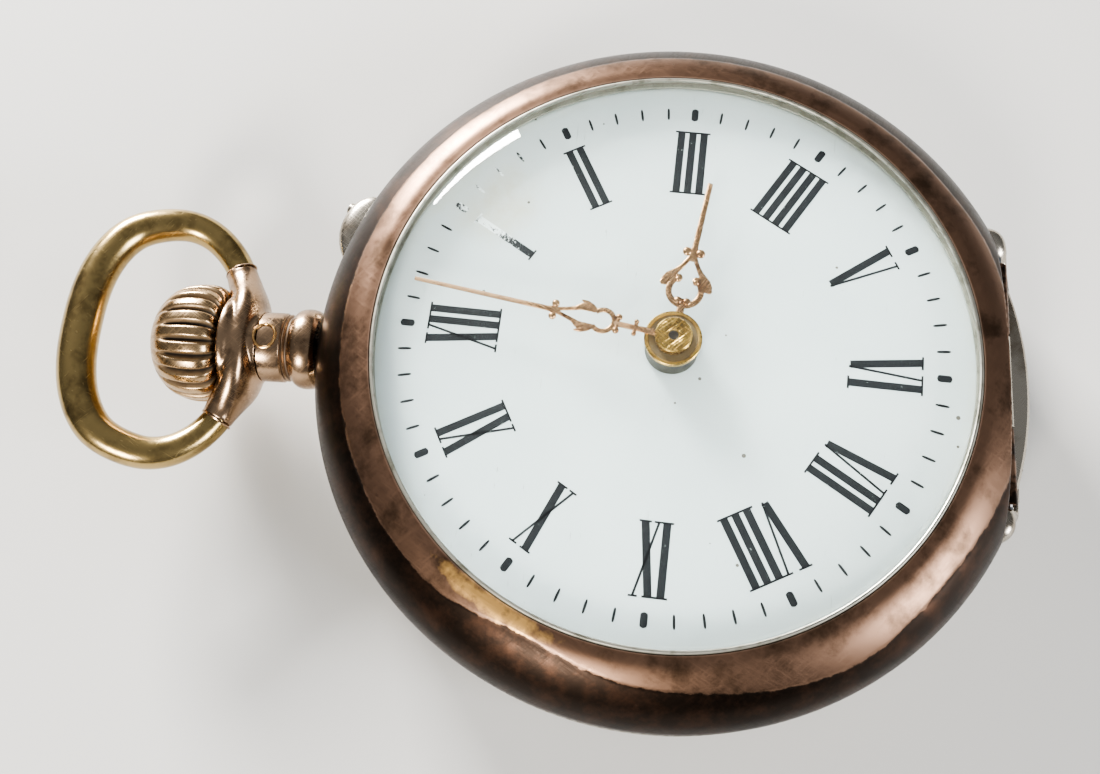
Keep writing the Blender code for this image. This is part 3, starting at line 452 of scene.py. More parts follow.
@dataclass(frozen=True)
class Enamel:
    """Fired white enamel: glossy glass over copper, with stains, specks and hair scratches."""

    name: str = "white_enamel"
    slot: str = "enamel"
    white: str = "#CBD1D2"
    cool: str = "#B7C0C3"
    stain: str = "#B9AE93"
    speck: str = "#5E5A52"

    def build(self) -> bpy.types.Material:
        """Make the material."""
        made, tree = blank(self.name)
        mm = millimetres(tree)
        soft = add_node(tree, "TexNoise", {}, {"Vector": mm, "Scale": 0.12, "Detail": 3.0})
        white = add_node(tree, "Mix", {"data_type": "RGBA"}, {
            "Factor": soft.outputs[0], 6: linear(self.white), 7: linear(self.cool)})
        smear = add_node(tree, "TexNoise", {}, {"Vector": mm, "Scale": 0.8, "Detail": 6.0,
                                                "Roughness": 0.7})
        damage = add_node(tree, "Attribute", {"attribute_name": "damage"})
        dirty = add_node(tree, "Math", {"operation": "MULTIPLY"},
                         {0: smear.outputs[0], 1: damage.outputs["Fac"]})
        share = add_node(tree, "MapRange", {}, {"Value": dirty.outputs[0], "From Min": 0.15,
                                                "From Max": 0.75, "To Max": 0.8})
        stained = add_node(tree, "Mix", {"data_type": "RGBA"}, {
            "Factor": share.outputs[0], 6: white.outputs[2], 7: linear(self.stain)})
        # specks: the hearts of scattered cells 1.6 mm apart, most of them too small to show
        cells = add_node(tree, "TexVoronoi", {}, {"Vector": mm, "Scale": 0.62, "Randomness": 1.0})
        size = add_node(tree, "SeparateColor", {}, {0: cells.outputs["Color"]})
        reach = add_node(tree, "MapRange", {}, {"Value": size.outputs[0], "From Min": 0.42,
                                                "From Max": 1.0, "To Min": 0.0, "To Max": 0.085})
        dot = add_node(tree, "Math", {"operation": "LESS_THAN"},
                       {0: cells.outputs["Distance"], 1: reach.outputs[0]})
        line_place = add_node(tree, "Mapping", {}, {"Vector": mm, "Scale": (0.5, 6.0, 1.0),
                                                    "Rotation": (0.0, 0.0, 0.6)})
        lines = add_node(tree, "TexNoise", {}, {"Vector": line_place.outputs[0], "Scale": 1.0,
                                                "Detail": 5.0, "Distortion": 1.2})
        hair = add_node(tree, "MapRange", {}, {"Value": lines.outputs[0], "From Min": 0.70,
                                               "From Max": 0.74, "To Max": 0.35})
        marks = add_node(tree, "Math", {"operation": "MAXIMUM"},
                         {0: dot.outputs[0], 1: hair.outputs[0]})
        shade = add_node(tree, "Mix", {"data_type": "RGBA"}, {
            "Factor": marks.outputs[0], 6: stained.outputs[2], 7: linear(self.speck)})
        gloss = add_node(tree, "MapRange", {}, {"Value": smear.outputs[0], "To Min": 0.10,
                                                "To Max": 0.28})
        bump = add_node(tree, "Bump", {}, {"Height": marks.outputs[0], "Strength": 0.3,
                                           "Distance": 0.00002})
        body = add_node(tree, "BsdfPrincipled", {}, {"Base Color": shade.outputs[2],
                                                     "Roughness": gloss.outputs[0],
                                                     "Coat Weight": 0.3, "Coat Roughness": 0.05,
                                                     "Normal": bump.outputs[0]})
        add_node(tree, "OutputMaterial", {}, {"Surface": body.outputs[0]})
        return made


@dataclass(frozen=True)
class DialInk:
    """Fired black paint, thin on the enamel, chipped through where "damage" says so."""

    name: str = "dial_black"
    slot: str = "enamel"
    black: str = "#08090B"
    grey: str = "#1E2023"
    bare: str = "#DDE2E2"

    def build(self) -> bpy.types.Material:
        """Make the material."""
        made, tree = blank(self.name)
        mm = millimetres(tree)
        thin = add_node(tree, "TexNoise", {}, {"Vector": mm, "Scale": 2.4, "Detail": 6.0,
                                               "Roughness": 0.7})
        tone = add_node(tree, "Mix", {"data_type": "RGBA"}, {
            "Factor": thin.outputs[0], 6: linear(self.black), 7: linear(self.grey)})
        chips = add_node(tree, "TexNoise", {}, {"Vector": mm, "Scale": 3.6, "Detail": 8.0,
                                                "Roughness": 0.8})
        damage = add_node(tree, "Attribute", {"attribute_name": "damage"})
        level = add_node(tree, "Math", {"operation": "MULTIPLY_ADD"},
                         {0: damage.outputs["Fac"], 1: 0.32, 2: chips.outputs[0]})
        gone = add_node(tree, "MapRange", {}, {"Value": level.outputs[0], "From Min": 0.64,
                                               "From Max": 0.68})
        shade = add_node(tree, "Mix", {"data_type": "RGBA"}, {
            "Factor": gone.outputs[0], 6: tone.outputs[2], 7: linear(self.bare)})
        body = add_node(tree, "BsdfPrincipled", {}, {"Base Color": shade.outputs[2],
                                                     "Roughness": 0.45,
                                                     "Specular IOR Level": 0.25})
        add_node(tree, "OutputMaterial", {}, {"Surface": body.outputs[0]})
        return made


@dataclass(frozen=True)
class WatchGlass:
    """Blown mineral glass, clear, lightly dusty; lamps shine through it onto the dial."""

    name: str = "watch_glass"
    slot: str = "glass"
    tint: str = "#F7FBFA"

    def build(self) -> bpy.types.Material:
        """Make the material."""
        made, tree = blank(self.name)
        mm = millimetres(tree)
        dust = add_node(tree, "TexNoise", {}, {"Vector": mm, "Scale": 0.5, "Detail": 8.0,
                                               "Roughness": 0.8})
        haze = add_node(tree, "MapRange", {}, {"Value": dust.outputs[0], "From Min": 0.5,
                                               "From Max": 0.85, "To Min": 0.0, "To Max": 0.05})
        glass = add_node(tree, "BsdfPrincipled", {}, {"Base Color": linear(self.tint),
                                                      "Transmission Weight": 1.0, "IOR": 1.5,
                                                      "Roughness": haze.outputs[0]})
        clear = add_node(tree, "BsdfTransparent", {}, {"Color": linear(self.tint)})
        ray = add_node(tree, "LightPath")
        both = add_node(tree, "MixShader", {}, {0: ray.outputs["Is Shadow Ray"],
                                                1: glass.outputs[0], 2: clear.outputs[0]})
        add_node(tree, "OutputMaterial", {}, {"Surface": both.outputs[0]})
        return made


@dataclass(frozen=True)
class Ruby:
    """Synthetic ruby, polished, deep red with a paler heart."""

    name: str = "ruby"
    slot: str = "ruby"
    deep: str = "#6E0A22"
    pale: str = "#C23A55"

    def build(self) -> bpy.types.Material:
        """Make the material."""
        made, tree = blank(self.name)
        soft = add_node(tree, "TexNoise", {}, {"Vector": millimetres(tree), "Scale": 1.2})
        shade = add_node(tree, "Mix", {"data_type": "RGBA"}, {
            "Factor": soft.outputs[0], 6: linear(self.deep), 7: linear(self.pale)})
        body = add_node(tree, "BsdfPrincipled", {}, {"Base Color": shade.outputs[2],
                                                     "Roughness": 0.06, "IOR": 1.76,
                                                     "Coat Weight": 0.6})
        add_node(tree, "OutputMaterial", {}, {"Surface": body.outputs[0]})
        return made


# Rolled rose gold over silver: pinkish where rubbed, brown where never touched, and bright gold
# painted on as a highlight on the rubbed patch by the ten.
BEZEL_GILT = WornGilding("worn_rose_gilding", "rose_gilt", "#7B6150", "#524033", "#1C1816",
                         tone_mm=2.5, rough=(0.3, 0.42), hairline_mm=0.11, pits=0.3,
                         relief=0.12)
# The same gilding on the turned pendant and crown: grimy hollows, rubbed ribs.
PENDANT_GILT = Metal("pendant_rose_gilding", "rose_gilt", "#A78C72", "#6E5A48", "#221C18",
                     tone_mm=1.6, rough=(0.18, 0.3), hairline_mm=0.1, pits=0.3, relief=0.12)
# The crown's tops are rubbed down to yellow brass; its grooves stay black with handling.
CROWN_GILT = Metal("crown_worn_gilding", "rose_gilt", "#B79B78", "#7F684E", "#181411",
                   tone_mm=1.8, rough=(0.16, 0.36), hairline_mm=0.12, pits=0.25)
# Bronze collet under the hour hand, blackened.
COLLET_BRONZE = Metal("black_collet_bronze", "hand_gold", "#4A4335", "#2C2820", "#12100C",
                      tone_mm=0.8, rough=(0.3, 0.5), hairline_mm=0.08)
# Fresh gold on the raised rim of the blank stamp, rubbed through the grime.
STAMP_GOLD = Metal("stamp_rim_gold", "rose_gilt", "#DDB27A", "#B58B60", "#40372F", tone_mm=0.5,
                   rough=(0.15, 0.3), hairline_mm=0.08, pits=0.1)
# Yellow brass wire drawn round, brown specks where its lacquer went.
BOW_BRASS = Metal("bow_brass", "bow_brass", "#AE9768", "#7C6947", "#2E2822", tone_mm=2.0,
                  rough=(0.2, 0.28), hairline_mm=0.1, pits=0.45, relief=0.1)
# 800 silver, hand polished and lightly toned by sulphur.
CASE_SILVER = Metal("case_silver", "silver", "#B0A99D", "#827769", "#34302B", tone_mm=4.0,
                    rough=(0.2, 0.32), hairline_mm=0.11, pits=0.3, relief=0.14)
# Silver inside the bezel, never polished: grey and matt; its darkest colour also paints the shade
# on the wall under the lip.
SEAT_SILVER = Metal("seat_silver", "silver", "#A9A79C", "#7E7C70", "#55544A", tone_mm=1.2,
                    rough=(0.35, 0.55), lay=Lay.ROUND, pits=0.4)
# Stamped rose gold hands, polished on top; their turned-down sides get painted shade in the dark
# colour.
HAND_GOLD = Metal("hand_gold", "hand_gold", "#C39871", "#93694B", "#2E241D", tone_mm=0.8,
                  rough=(0.16, 0.34), hairline_mm=0.08, pits=0.2)
# The hub is yellower than the blades and still shows the file.
HUB_GOLD = Metal("hub_gold", "hand_gold", "#C6A058", "#8E6C3A", "#28211A", tone_mm=0.7,
                 rough=(0.18, 0.36), hairline_mm=0.08, pits=0.2)
# Fire gilt brass of the movement, frosted with acid before gilding.
MOVEMENT_GILT = Metal("frosted_gilt", "gilt_brass", "#D8B468", "#B9934C", "#6B5228", tone_mm=5.0,
                      rough=(0.3, 0.46), hairline_mm=0.14, lay=Lay.STRAIGHT, pits=0.1)
# Ground and polished carbon steel.
MOVEMENT_STEEL = Metal("ground_steel", "steel", "#B9BDC0", "#8D9195", "#4A4C4E", tone_mm=1.5,
                       rough=(0.16, 0.34), hairline_mm=0.09, lay=Lay.ROUND, pits=0.1)
# Steel blued over a flame to a cornflower skin.
FLAME_BLUE = Metal("flame_blued_steel", "blued_steel", "#2B4C9E", "#1D2F6B", "#0E1430",
                   tone_mm=0.8, rough=(0.14, 0.3), hairline_mm=0.07, pits=0.1)


# --- pieces ---------------------------------------------------------------------------
Finish = Metal | Enamel | DialInk | WatchGlass | Ruby
MATERIALS: dict[str, bpy.types.Material] = {}


def material_of(finish: Finish) -> bpy.types.Material:
    """The finish's material, made once."""
    if finish.name not in MATERIALS:
        MATERIALS[finish.name] = finish.build()
    return MATERIALS[finish.name]


def make(name: str, shells: Sequence[Shell], finish: Finish, body: str,
         replaces: Sequence[str] = (), crisp: float = 35.0) -> bpy.types.Object:
    """Put closed surfaces into one object that rides on a CAD body.

    Args:
        name: the piece's name.
        shells: its surfaces, in mm; marks that one of them lacks count as 0.
        finish: the finish that dresses it.
        body: the CAD body it moves with.
        replaces: the CAD nodes it stands for.
        crisp: edges sharper than this many degrees stay crisp.
    Returns:
        the object.
    """
    starts = np.cumsum([0] + [len(s.points) for s in shells])
    points = np.concatenate([s.points for s in shells]) * MM
    quads = np.concatenate([s.quads + start for s, start in zip(shells, starts)])
    mesh = bpy.data.meshes.new(name)
    mesh.from_pydata(points, [], quads.tolist())
    for mark in sorted({key for s in shells for key in s.marks}):
        values = [s.marks.get(mark, np.zeros(len(s.points))) for s in shells]
        layer = mesh.attributes.new(mark, "FLOAT", "POINT")
        layer.data.foreach_set("value", np.concatenate(values).astype(np.float32))
    work = bmesh.new()
    work.from_mesh(mesh)
    bmesh.ops.remove_doubles(work, verts=work.verts, dist=2e-7)
    bmesh.ops.recalc_face_normals(work, faces=work.faces)
    work.to_mesh(mesh)
    work.free()
    mesh.shade_smooth()
    mesh.set_sharp_from_angle(angle=np.radians(crisp))
    made = bpy.data.objects.new(name, mesh)
    bpy.context.scene.collection.objects.link(made)
    mesh.materials.append(material_of(finish))
    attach(made, body)
    if replaces:
        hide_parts(*replaces)
    log.info("%s: %d faces on %s", name, len(mesh.polygons), body)
    return made


def fuse(made: bpy.types.Object, voxel_mm: float, rounds: int) -> None:
    """Weld a piece's overlapping surfaces into one skin with soft joins.

    Args:
        made: the piece.
        voxel_mm: size of the cells it is rebuilt from.
        rounds: how often the skin is relaxed.
    """
    welded = made.modifiers.new("weld", "REMESH")
    welded.mode = "VOXEL"
    welded.voxel_size = voxel_mm * MM
    welded.use_smooth_shade = True
    eased = made.modifiers.new("ease", "SMOOTH")
    eased.factor = 0.5
    eased.iterations = rounds
    graph = bpy.context.evaluated_depsgraph_get()
    result = bpy.data.meshes.new_from_object(made.evaluated_get(graph))
    made.modifiers.clear()
    rough, made.data = made.data, result
    name = rough.name
    bpy.data.meshes.remove(rough)
    result.name = name
    result.shade_smooth()


def towards(angle: float, height: float) -> Matrix:
    """Turns a shape along Z outwards from the hand axis, at a clock angle and a height."""
    turn = Matrix.Rotation(np.radians(-angle), 4, "Z") @ Matrix.Rotation(np.radians(-90), 4, "X")
    return Matrix.Translation((0, 0, height)) @ turn


def across(x: float, y: float, z: float) -> Matrix:
    """Turns a shape along Z to run along +X from a point."""
    return Matrix.Translation((x, y, z)) @ Matrix.Rotation(np.radians(90), 4, "Y")


def rod(radius: float, low: float, high: float, edge: float = 0.06, columns: int = 40) -> Shell:
    """A round bar along Z with softened ends.

    Args:
        radius: its radius, mm.
        low: height of its lower end.
        high: height of its upper end.
        edge: width of the softened edge.
        columns: points round it.
    Returns:
        the closed bar.
    """
    return turned([(0, low), (radius - edge, low), (radius, low + edge), (radius, high - edge),
                   (radius - edge, high), (0, high)], columns, shut=False)


@dataclass
class Bezel:
    """The hinged bezel: a rubbed rose gilt swell, a bright lip, and the glass it holds."""

    chord_y: float = -20.45
    columns: int = 900
    edge_r: float = 20.75         # the rubbed zone ends here on the pendant side
    step: float = 0.045           # height of the gilding's worn edge
    ragged_from: float = 125.0    # clock angles between which the edge wanders
    ragged_to: float = 318.0
    glass_t: float = 0.65
    barrel_r: float = 0.5

    def edge_radius(self, angle: Array) -> Array:
        """Radius of the rubbed zone's outer edge at clock angles in radians."""
        degrees = np.degrees(angle) % 360
        ragged = (smoothstep(self.ragged_from, self.ragged_from + 30, degrees)
                  * (1 - smoothstep(self.ragged_to - 12, self.ragged_to, degrees)))
        near_ten = np.exp(-((degrees - 292) / 16) ** 2)
        wide = 0.75 * np.exp(-((degrees - 205) / 55) ** 2)
        return self.edge_r + ragged * (wide + 0.24 * wander(angle, 5)) - 0.85 * near_ten

    def ring(self) -> Shell:
        """The bezel's body: its profile turned, stepped at the worn edge, cut at the hinge."""
        low, _ = span("bezel")
        floor = low[2]
        swell = flowing([(18.8, LIP_TOP - 0.06), (19.55, LIP_TOP - 0.18), (20.4, LIP_TOP - 0.56),
                         (21.2, LIP_TOP - 1.1), (21.95, LIP_TOP - 1.78), (22.55, LIP_TOP - 2.6),
                         (22.9, LIP_TOP - 3.4), (CASE_R, floor + 0.3)], 64)
        profile = np.vstack([
            [(18.72, LIP_TOP - 0.5), (18.72, LIP_TOP - 0.13)], swell,
            [(22.97, floor + 0.1), (22.85, floor), (20.2, floor), (20.15, floor + 0.1),
             (20.15, 9.1), (19.3, 9.2), (18.98, 9.9)]])
        shell = turned(profile, self.columns)
        x, y, z = shell.points.T
        radius = np.hypot(x, y)
        angle = np.arctan2(x, y) % TURN
        inside = self.edge_radius(angle) - radius
        outer = z > floor + 0.12
        sunk = self.step * (1 - smoothstep(-0.05, 0.07, inside))
        z = z - np.where(outer & (radius > 19.2), sunk, 0)
        y = np.maximum(y, self.chord_y)
        # the rubbed patch by the ten, which also carries a painted highlight in bright gold
        thumb = np.exp(-(((np.degrees(angle) - 300) / 14) ** 2)
                       - ((radius - 19.3) / 0.7) ** 2)
        # dirt and painted shade on the ring's inner edge beside the lip
        dirt_and_shade = 0.9 * (1 - smoothstep(18.76, 18.84, radius)) * (z > LIP_TOP - 0.6)
        shell.points = np.column_stack([x, y, z])
        shell.marks = {"inside": inside, "thumb": thumb, "grime": dirt_and_shade}
        return shell

    def seat(self) -> Shell:
        """The silver seat that the glass snaps into, with its bright lip over the glass."""
        shell = turned([(18.5, 9.72), (18.5, 9.9), (18.96, 9.95), (18.9, LIP_TOP - 0.42),
                        (18.5, LIP_TOP - 0.24), (18.47, LIP_TOP - 0.14), (18.49, LIP_TOP - 0.04),
                        (18.54, LIP_TOP), (18.64, LIP_TOP), (18.7, LIP_TOP - 0.04),
                        (18.74, LIP_TOP - 0.14), (19.05, LIP_TOP - 0.5), (19.2, 9.9),
                        (19.3, 9.22)], 480)
        radius = np.hypot(shell.points[:, 0], shell.points[:, 1])
        height = shell.points[:, 2]
        # painted shade on the walls below the lip top, and dirt with painted shade where the lip
        # meets the ring
        shell.marks = {"grime": 0.9 * smoothstep(18.68, 18.73, radius) * (height > LIP_TOP - 0.3)
                       + 0.4 * (height < LIP_TOP - 0.2)}
        return shell

    def knuckles(self) -> list[Shell]:
        """The bezel's two hinge barrels and the leaves that carry them."""
        hinge = pivot("bezel_hinge")
        parts = []
        for side in (-1, 1):
            inner, outer = sorted((side * 3.12, side * 8.0))
            barrel = rod(self.barrel_r, 0, outer - inner)
            parts.append(barrel.moved(across(inner, hinge[1], hinge[2])))
            path = [(inner + 0.1, -20.75, hinge[2] + 0.1), (outer - 0.1, -20.75, hinge[2] + 0.1)]
            parts.append(sweep(path, 0.36, 0.32, sides=12, square=5))
        return parts

    def glass(self) -> Shell:
        """The domed glass, steep at its rim: height falls as (1 - (r/R)^2)^0.75."""
        low, high = span("crystal")
        rim = high[0]
        share = np.sin(np.linspace(0, np.pi / 2, 40)) * 0.985
        top = low[2] + 0.32 + (high[2] - low[2] - 0.32) * (1 - share**2) ** 0.75
        under = low[2] + 0.02 + (high[2] - low[2] - 0.02 - self.glass_t) * (1 - share**2) ** 0.75
        profile = np.vstack([np.column_stack([rim * share, under]),
                             [(rim, low[2] + 0.05), (rim, low[2] + 0.38)],
                             np.column_stack([rim * share, top])[::-1]])
        return turned(profile, 256, shut=False)

    def build(self) -> None:
        """Make the bezel's pieces."""
        make("bezel_ring", [self.ring()], BEZEL_GILT, "bezel", ["bezel"])
        make("bezel_seat", [self.seat()], SEAT_SILVER, "bezel")
        make("bezel_knuckles", self.knuckles(), BEZEL_GILT, "bezel")
        make("glass", [self.glass()], WatchGlass(), "bezel", ["crystal"], crisp=60)


@dataclass
class Case:
    """The silver middle with its reeded edge, hinge lugs, guard lug, back and inner cover."""

    reeds: int = 220              # the band's edge is reeded about 0.65 mm apart
    reed_depth: float = 0.07
    pad_r: float = 8.0
    lug_angle: float = 25.0
    edge_z: tuple[float, float] = (4.6, 6.7)     # the reeded edge's lower and upper side
    barrel_r: float = 0.5         # hinge barrels of the bezel and the back
    inner_barrel_r: float = 0.3
    guard_z: float = 5.62
    pin_r: float = 0.45
    pin_ends: tuple[float, float] = (19.0, 25.05)

    def band(self) -> Shell:
        """The middle: profile turned, its outer edge reeded as 1 + cos over the angle."""
        f_low, f_high = self.edge_z
        edge = flowing([(22.72, f_low), (22.95, f_low + 0.3), (CASE_R, f_low + 1.05),
                        (22.95, f_high - 0.3), (22.72, f_high)], 17)
        profile = np.vstack([[(19.2, 2.65), (19.25, 2.6), (19.9, 2.6), (19.95, 2.65),
                              (19.95, f_low)], edge,
                             [(19.95, f_high), (19.95, 8.85), (19.9, 8.9), (19.25, 8.9),
                              (19.2, 8.85)]])
        shell = turned(profile, self.reeds * 6)
        x, y, z = shell.points.T
        radius = np.hypot(x, y)
        angle = np.arctan2(x, y)
        middle = (f_low + f_high) / 2
        ridge = (0.5 + 0.5 * np.cos(self.reeds * angle)) ** 0.6
        band = (1 - smoothstep(0.55, 0.8, np.abs(z - middle))) * (radius > 22.8)
        depth = self.reed_depth * band * (1 - ridge)
        scale = (radius - depth) / radius
        shell.points = np.column_stack([x * scale, y * scale, z])
        shell.marks = {"grime": 0.8 * band * (1 - ridge) ** 2}
        return shell

    def hinge_lugs(self) -> list[Shell]:
        """Silver lumps at the ends of the bezel's hinge, and the middle barrels."""
        hinge, back, inner = (pivot(name) for name in ("bezel_hinge", "back_cover_hinge",
                                                       "cuvette_hinge"))
        parts = []
        for side in (-1, 1):
            inward = 0.35 if side < 0 else 0.0       # the lump at the VII is set further in
            knots = [(6.6, -0.95, -1.0), (8.3, -0.55, -0.75),
                     (9.1 - inward, 0.1 + 0.4 * inward, -0.35),
                     (10.1 - inward, 0.85 + 0.6 * inward, -0.45),
                     (10.9 - inward, 1.45 + 0.6 * inward, -0.8)]
            ends = flowing([(side * x, hinge[1] + y, hinge[2] + z) for x, y, z in knots], 36)
            share = np.linspace(0, 1, 36)
            width = 0.12 + 1.0 * np.exp(-((share - 0.64) / 0.28) ** 2)
            width *= np.sqrt(np.clip(1 - share**6, 0.0004, 1)) * smoothstep(-0.1, 0.3, share)
            parts.append(sweep(ends, width * 0.9, width, sides=24, square=2.3))
        for axis, half, radius in ((hinge, 3.0, self.barrel_r), (back, 3.0, self.barrel_r),
                                   (inner, 2.0, self.inner_barrel_r)):
            parts.append(rod(radius, -half, half, 0.04).moved(across(0, axis[1], axis[2])))
        parts.append(sweep([(-2.9, -21.2, 6.85), (2.9, -21.2, 6.85)], 0.36, 0.4, square=6))
        parts.append(sweep([(-2.9, -22.3, 4.45), (2.9, -22.3, 4.45)], 0.33, 0.3, square=6))
        parts.append(sweep([(-1.9, -19.95, 2.6), (1.9, -19.95, 2.6)], 0.4, 0.22, square=6))
        return parts

    def guard(self) -> Shell:
        """The guard lug: a ridge along the band that swells round the setting pin."""
        share = np.linspace(-1, 1, 49)
        angle = self.lug_angle - 2.6 + 6.4 * share + 1.2 * (1 - share**2)
        swell = np.clip(1 - np.abs(share) ** 2.2, 0.003, 1)
        reach = CASE_R + 0.05 + 0.45 * swell
        a = np.radians(angle)
        path = np.column_stack([reach * np.sin(a), reach * np.cos(a), np.full(49, self.guard_z)])
        return sweep(path, 0.18 + 1.17 * swell**0.9, 0.25 + 0.62 * swell**0.5, sides=32, square=2.6)

    def pin(self) -> Shell:
        """The setting pin with a domed end."""
        low, high = self.pin_ends
        turn = np.linspace(0, 1.5, 7)
        dome = np.column_stack([self.pin_r * np.cos(turn), high - 0.16 + 0.16 * np.sin(turn)])
        profile = np.vstack([[(0, low), (self.pin_r, low)], dome, [(0, high)]])
        height = span("setting_pin")
        return turned(profile, 32, shut=False).moved(
            towards(self.lug_angle, (height[0][2] + height[1][2]) / 2))

    def shoulder(self, radius: Array, lift: float = 0.0) -> Array:
        """Height of the back at a radius: flat pad, then a superellipse of power 2.6."""
        u = np.clip((radius - self.pad_r) / (CASE_R - self.pad_r - 0.1), 0, 1)
        return lift + 3.6 * (1 - (1 - u**2.6) ** (1 / 2.6))

    def back(self) -> Shell:
        """The back cover, a thin bowl with a snap rim, cut back at its hinge."""
        rim = 4.5
        out = np.concatenate([[0, 4], self.pad_r + (22.88 - self.pad_r) * np.sin(
            np.linspace(0, np.pi / 2, 50))])
        into = np.concatenate([self.pad_r + (21.9 - self.pad_r) * np.sin(
            np.linspace(np.pi / 2, 0, 40)), [4, 0]])
        profile = np.vstack([np.column_stack([out, self.shoulder(out)]),
                             [(22.98, 3.95), (22.98, rim - 0.15), (22.88, rim), (22.2, rim),
                              (22.15, 3.5)],
                             np.column_stack([into, self.shoulder(into + 0.25, 0.5)])])
        shell = turned(profile, 480, shut=False)
        x, y, z = shell.points.T
        near = (np.abs(x) < 7.15) & (y < -21.7)
        y = np.where(near & (z > 3.2), np.maximum(y, -21.72), y)
        shell.points = np.column_stack([x, y, z])
        return shell

    def back_knuckles(self) -> list[Shell]:
        """The back cover's hinge barrels and leaves, and its thumb lip."""
        hinge = pivot("back_cover_hinge")
        parts = []
        for side in (-1, 1):
            inner, outer = sorted((side * 3.12, side * 7.0))
            barrel = rod(self.barrel_r, 0, outer - inner)
            parts.append(barrel.moved(across(inner, hinge[1], hinge[2])))
            path = [(inner + 0.1, -21.95, 3.95), (outer - 0.1, -21.95, 3.95)]
            parts.append(sweep(path, 0.35, 0.3, sides=12, square=5))
        share = np.linspace(-1, 1, 25)
        a = np.radians(46.5 + 10.0 * share)
        reach = 22.9 + 0.55 * (1 - share**2)
        path = np.column_stack([reach * np.sin(a), reach * np.cos(a), np.full(25, 4.08)])
        parts.append(sweep(path, 0.12 + 0.85 * (1 - share**2), 0.3, sides=16, square=3))
        return parts

    def inner_cover(self) -> list[Shell]:
        """The thin inner cover with a turned step near its edge, and its barrels."""
        low = span("cuvette")[0]
        hinge = pivot("cuvette_hinge")
        r = np.array([0, 6, 12, 15, 16.6, 16.8, 17.6, 17.8, 19.2])
        outer = low[2] + 0.02 + 0.1 * (r / 19.2) ** 2 + 0.05 * ((r > 16.7) & (r < 17.7))
        profile = np.vstack([np.column_stack([r, outer]), [(19.6, 2.22), (19.7, 2.3), (19.7, 2.42),
                                                           (19.66, 2.45), (0, 2.35)]])
        parts = [turned(profile, 256, shut=False)]
        for side in (-1, 1):
            inner, end = sorted((side * 2.12, side * 4.95))
            barrel = rod(self.inner_barrel_r, 0, end - inner, 0.03)
            parts.append(barrel.moved(across(inner, hinge[1], hinge[2])))
            path = [(inner + 0.05, -19.95, 2.3), (end - 0.05, -19.95, 2.3)]
            parts.append(sweep(path, 0.45, 0.12, sides=12, square=5))
        return parts

    def build(self) -> None:
        """Make the case's pieces."""
        make("band", [self.band()], CASE_SILVER, "case", ["case_band"])
        make("hinge_lugs", self.hinge_lugs(), CASE_SILVER, "case")
        make("guard", [self.guard()], CASE_SILVER, "case", ["guard_lug"])
        make("push_pin", [self.pin()], CASE_SILVER, "setting_pin", ["setting_pin"])
        make("back", [self.back()], CASE_SILVER, "back_cover", ["back_cover"])
        make("back_knuckles", self.back_knuckles(), CASE_SILVER, "back_cover")
        make("inner_cover", self.inner_cover(), MOVEMENT_GILT, "cuvette", ["cuvette"])


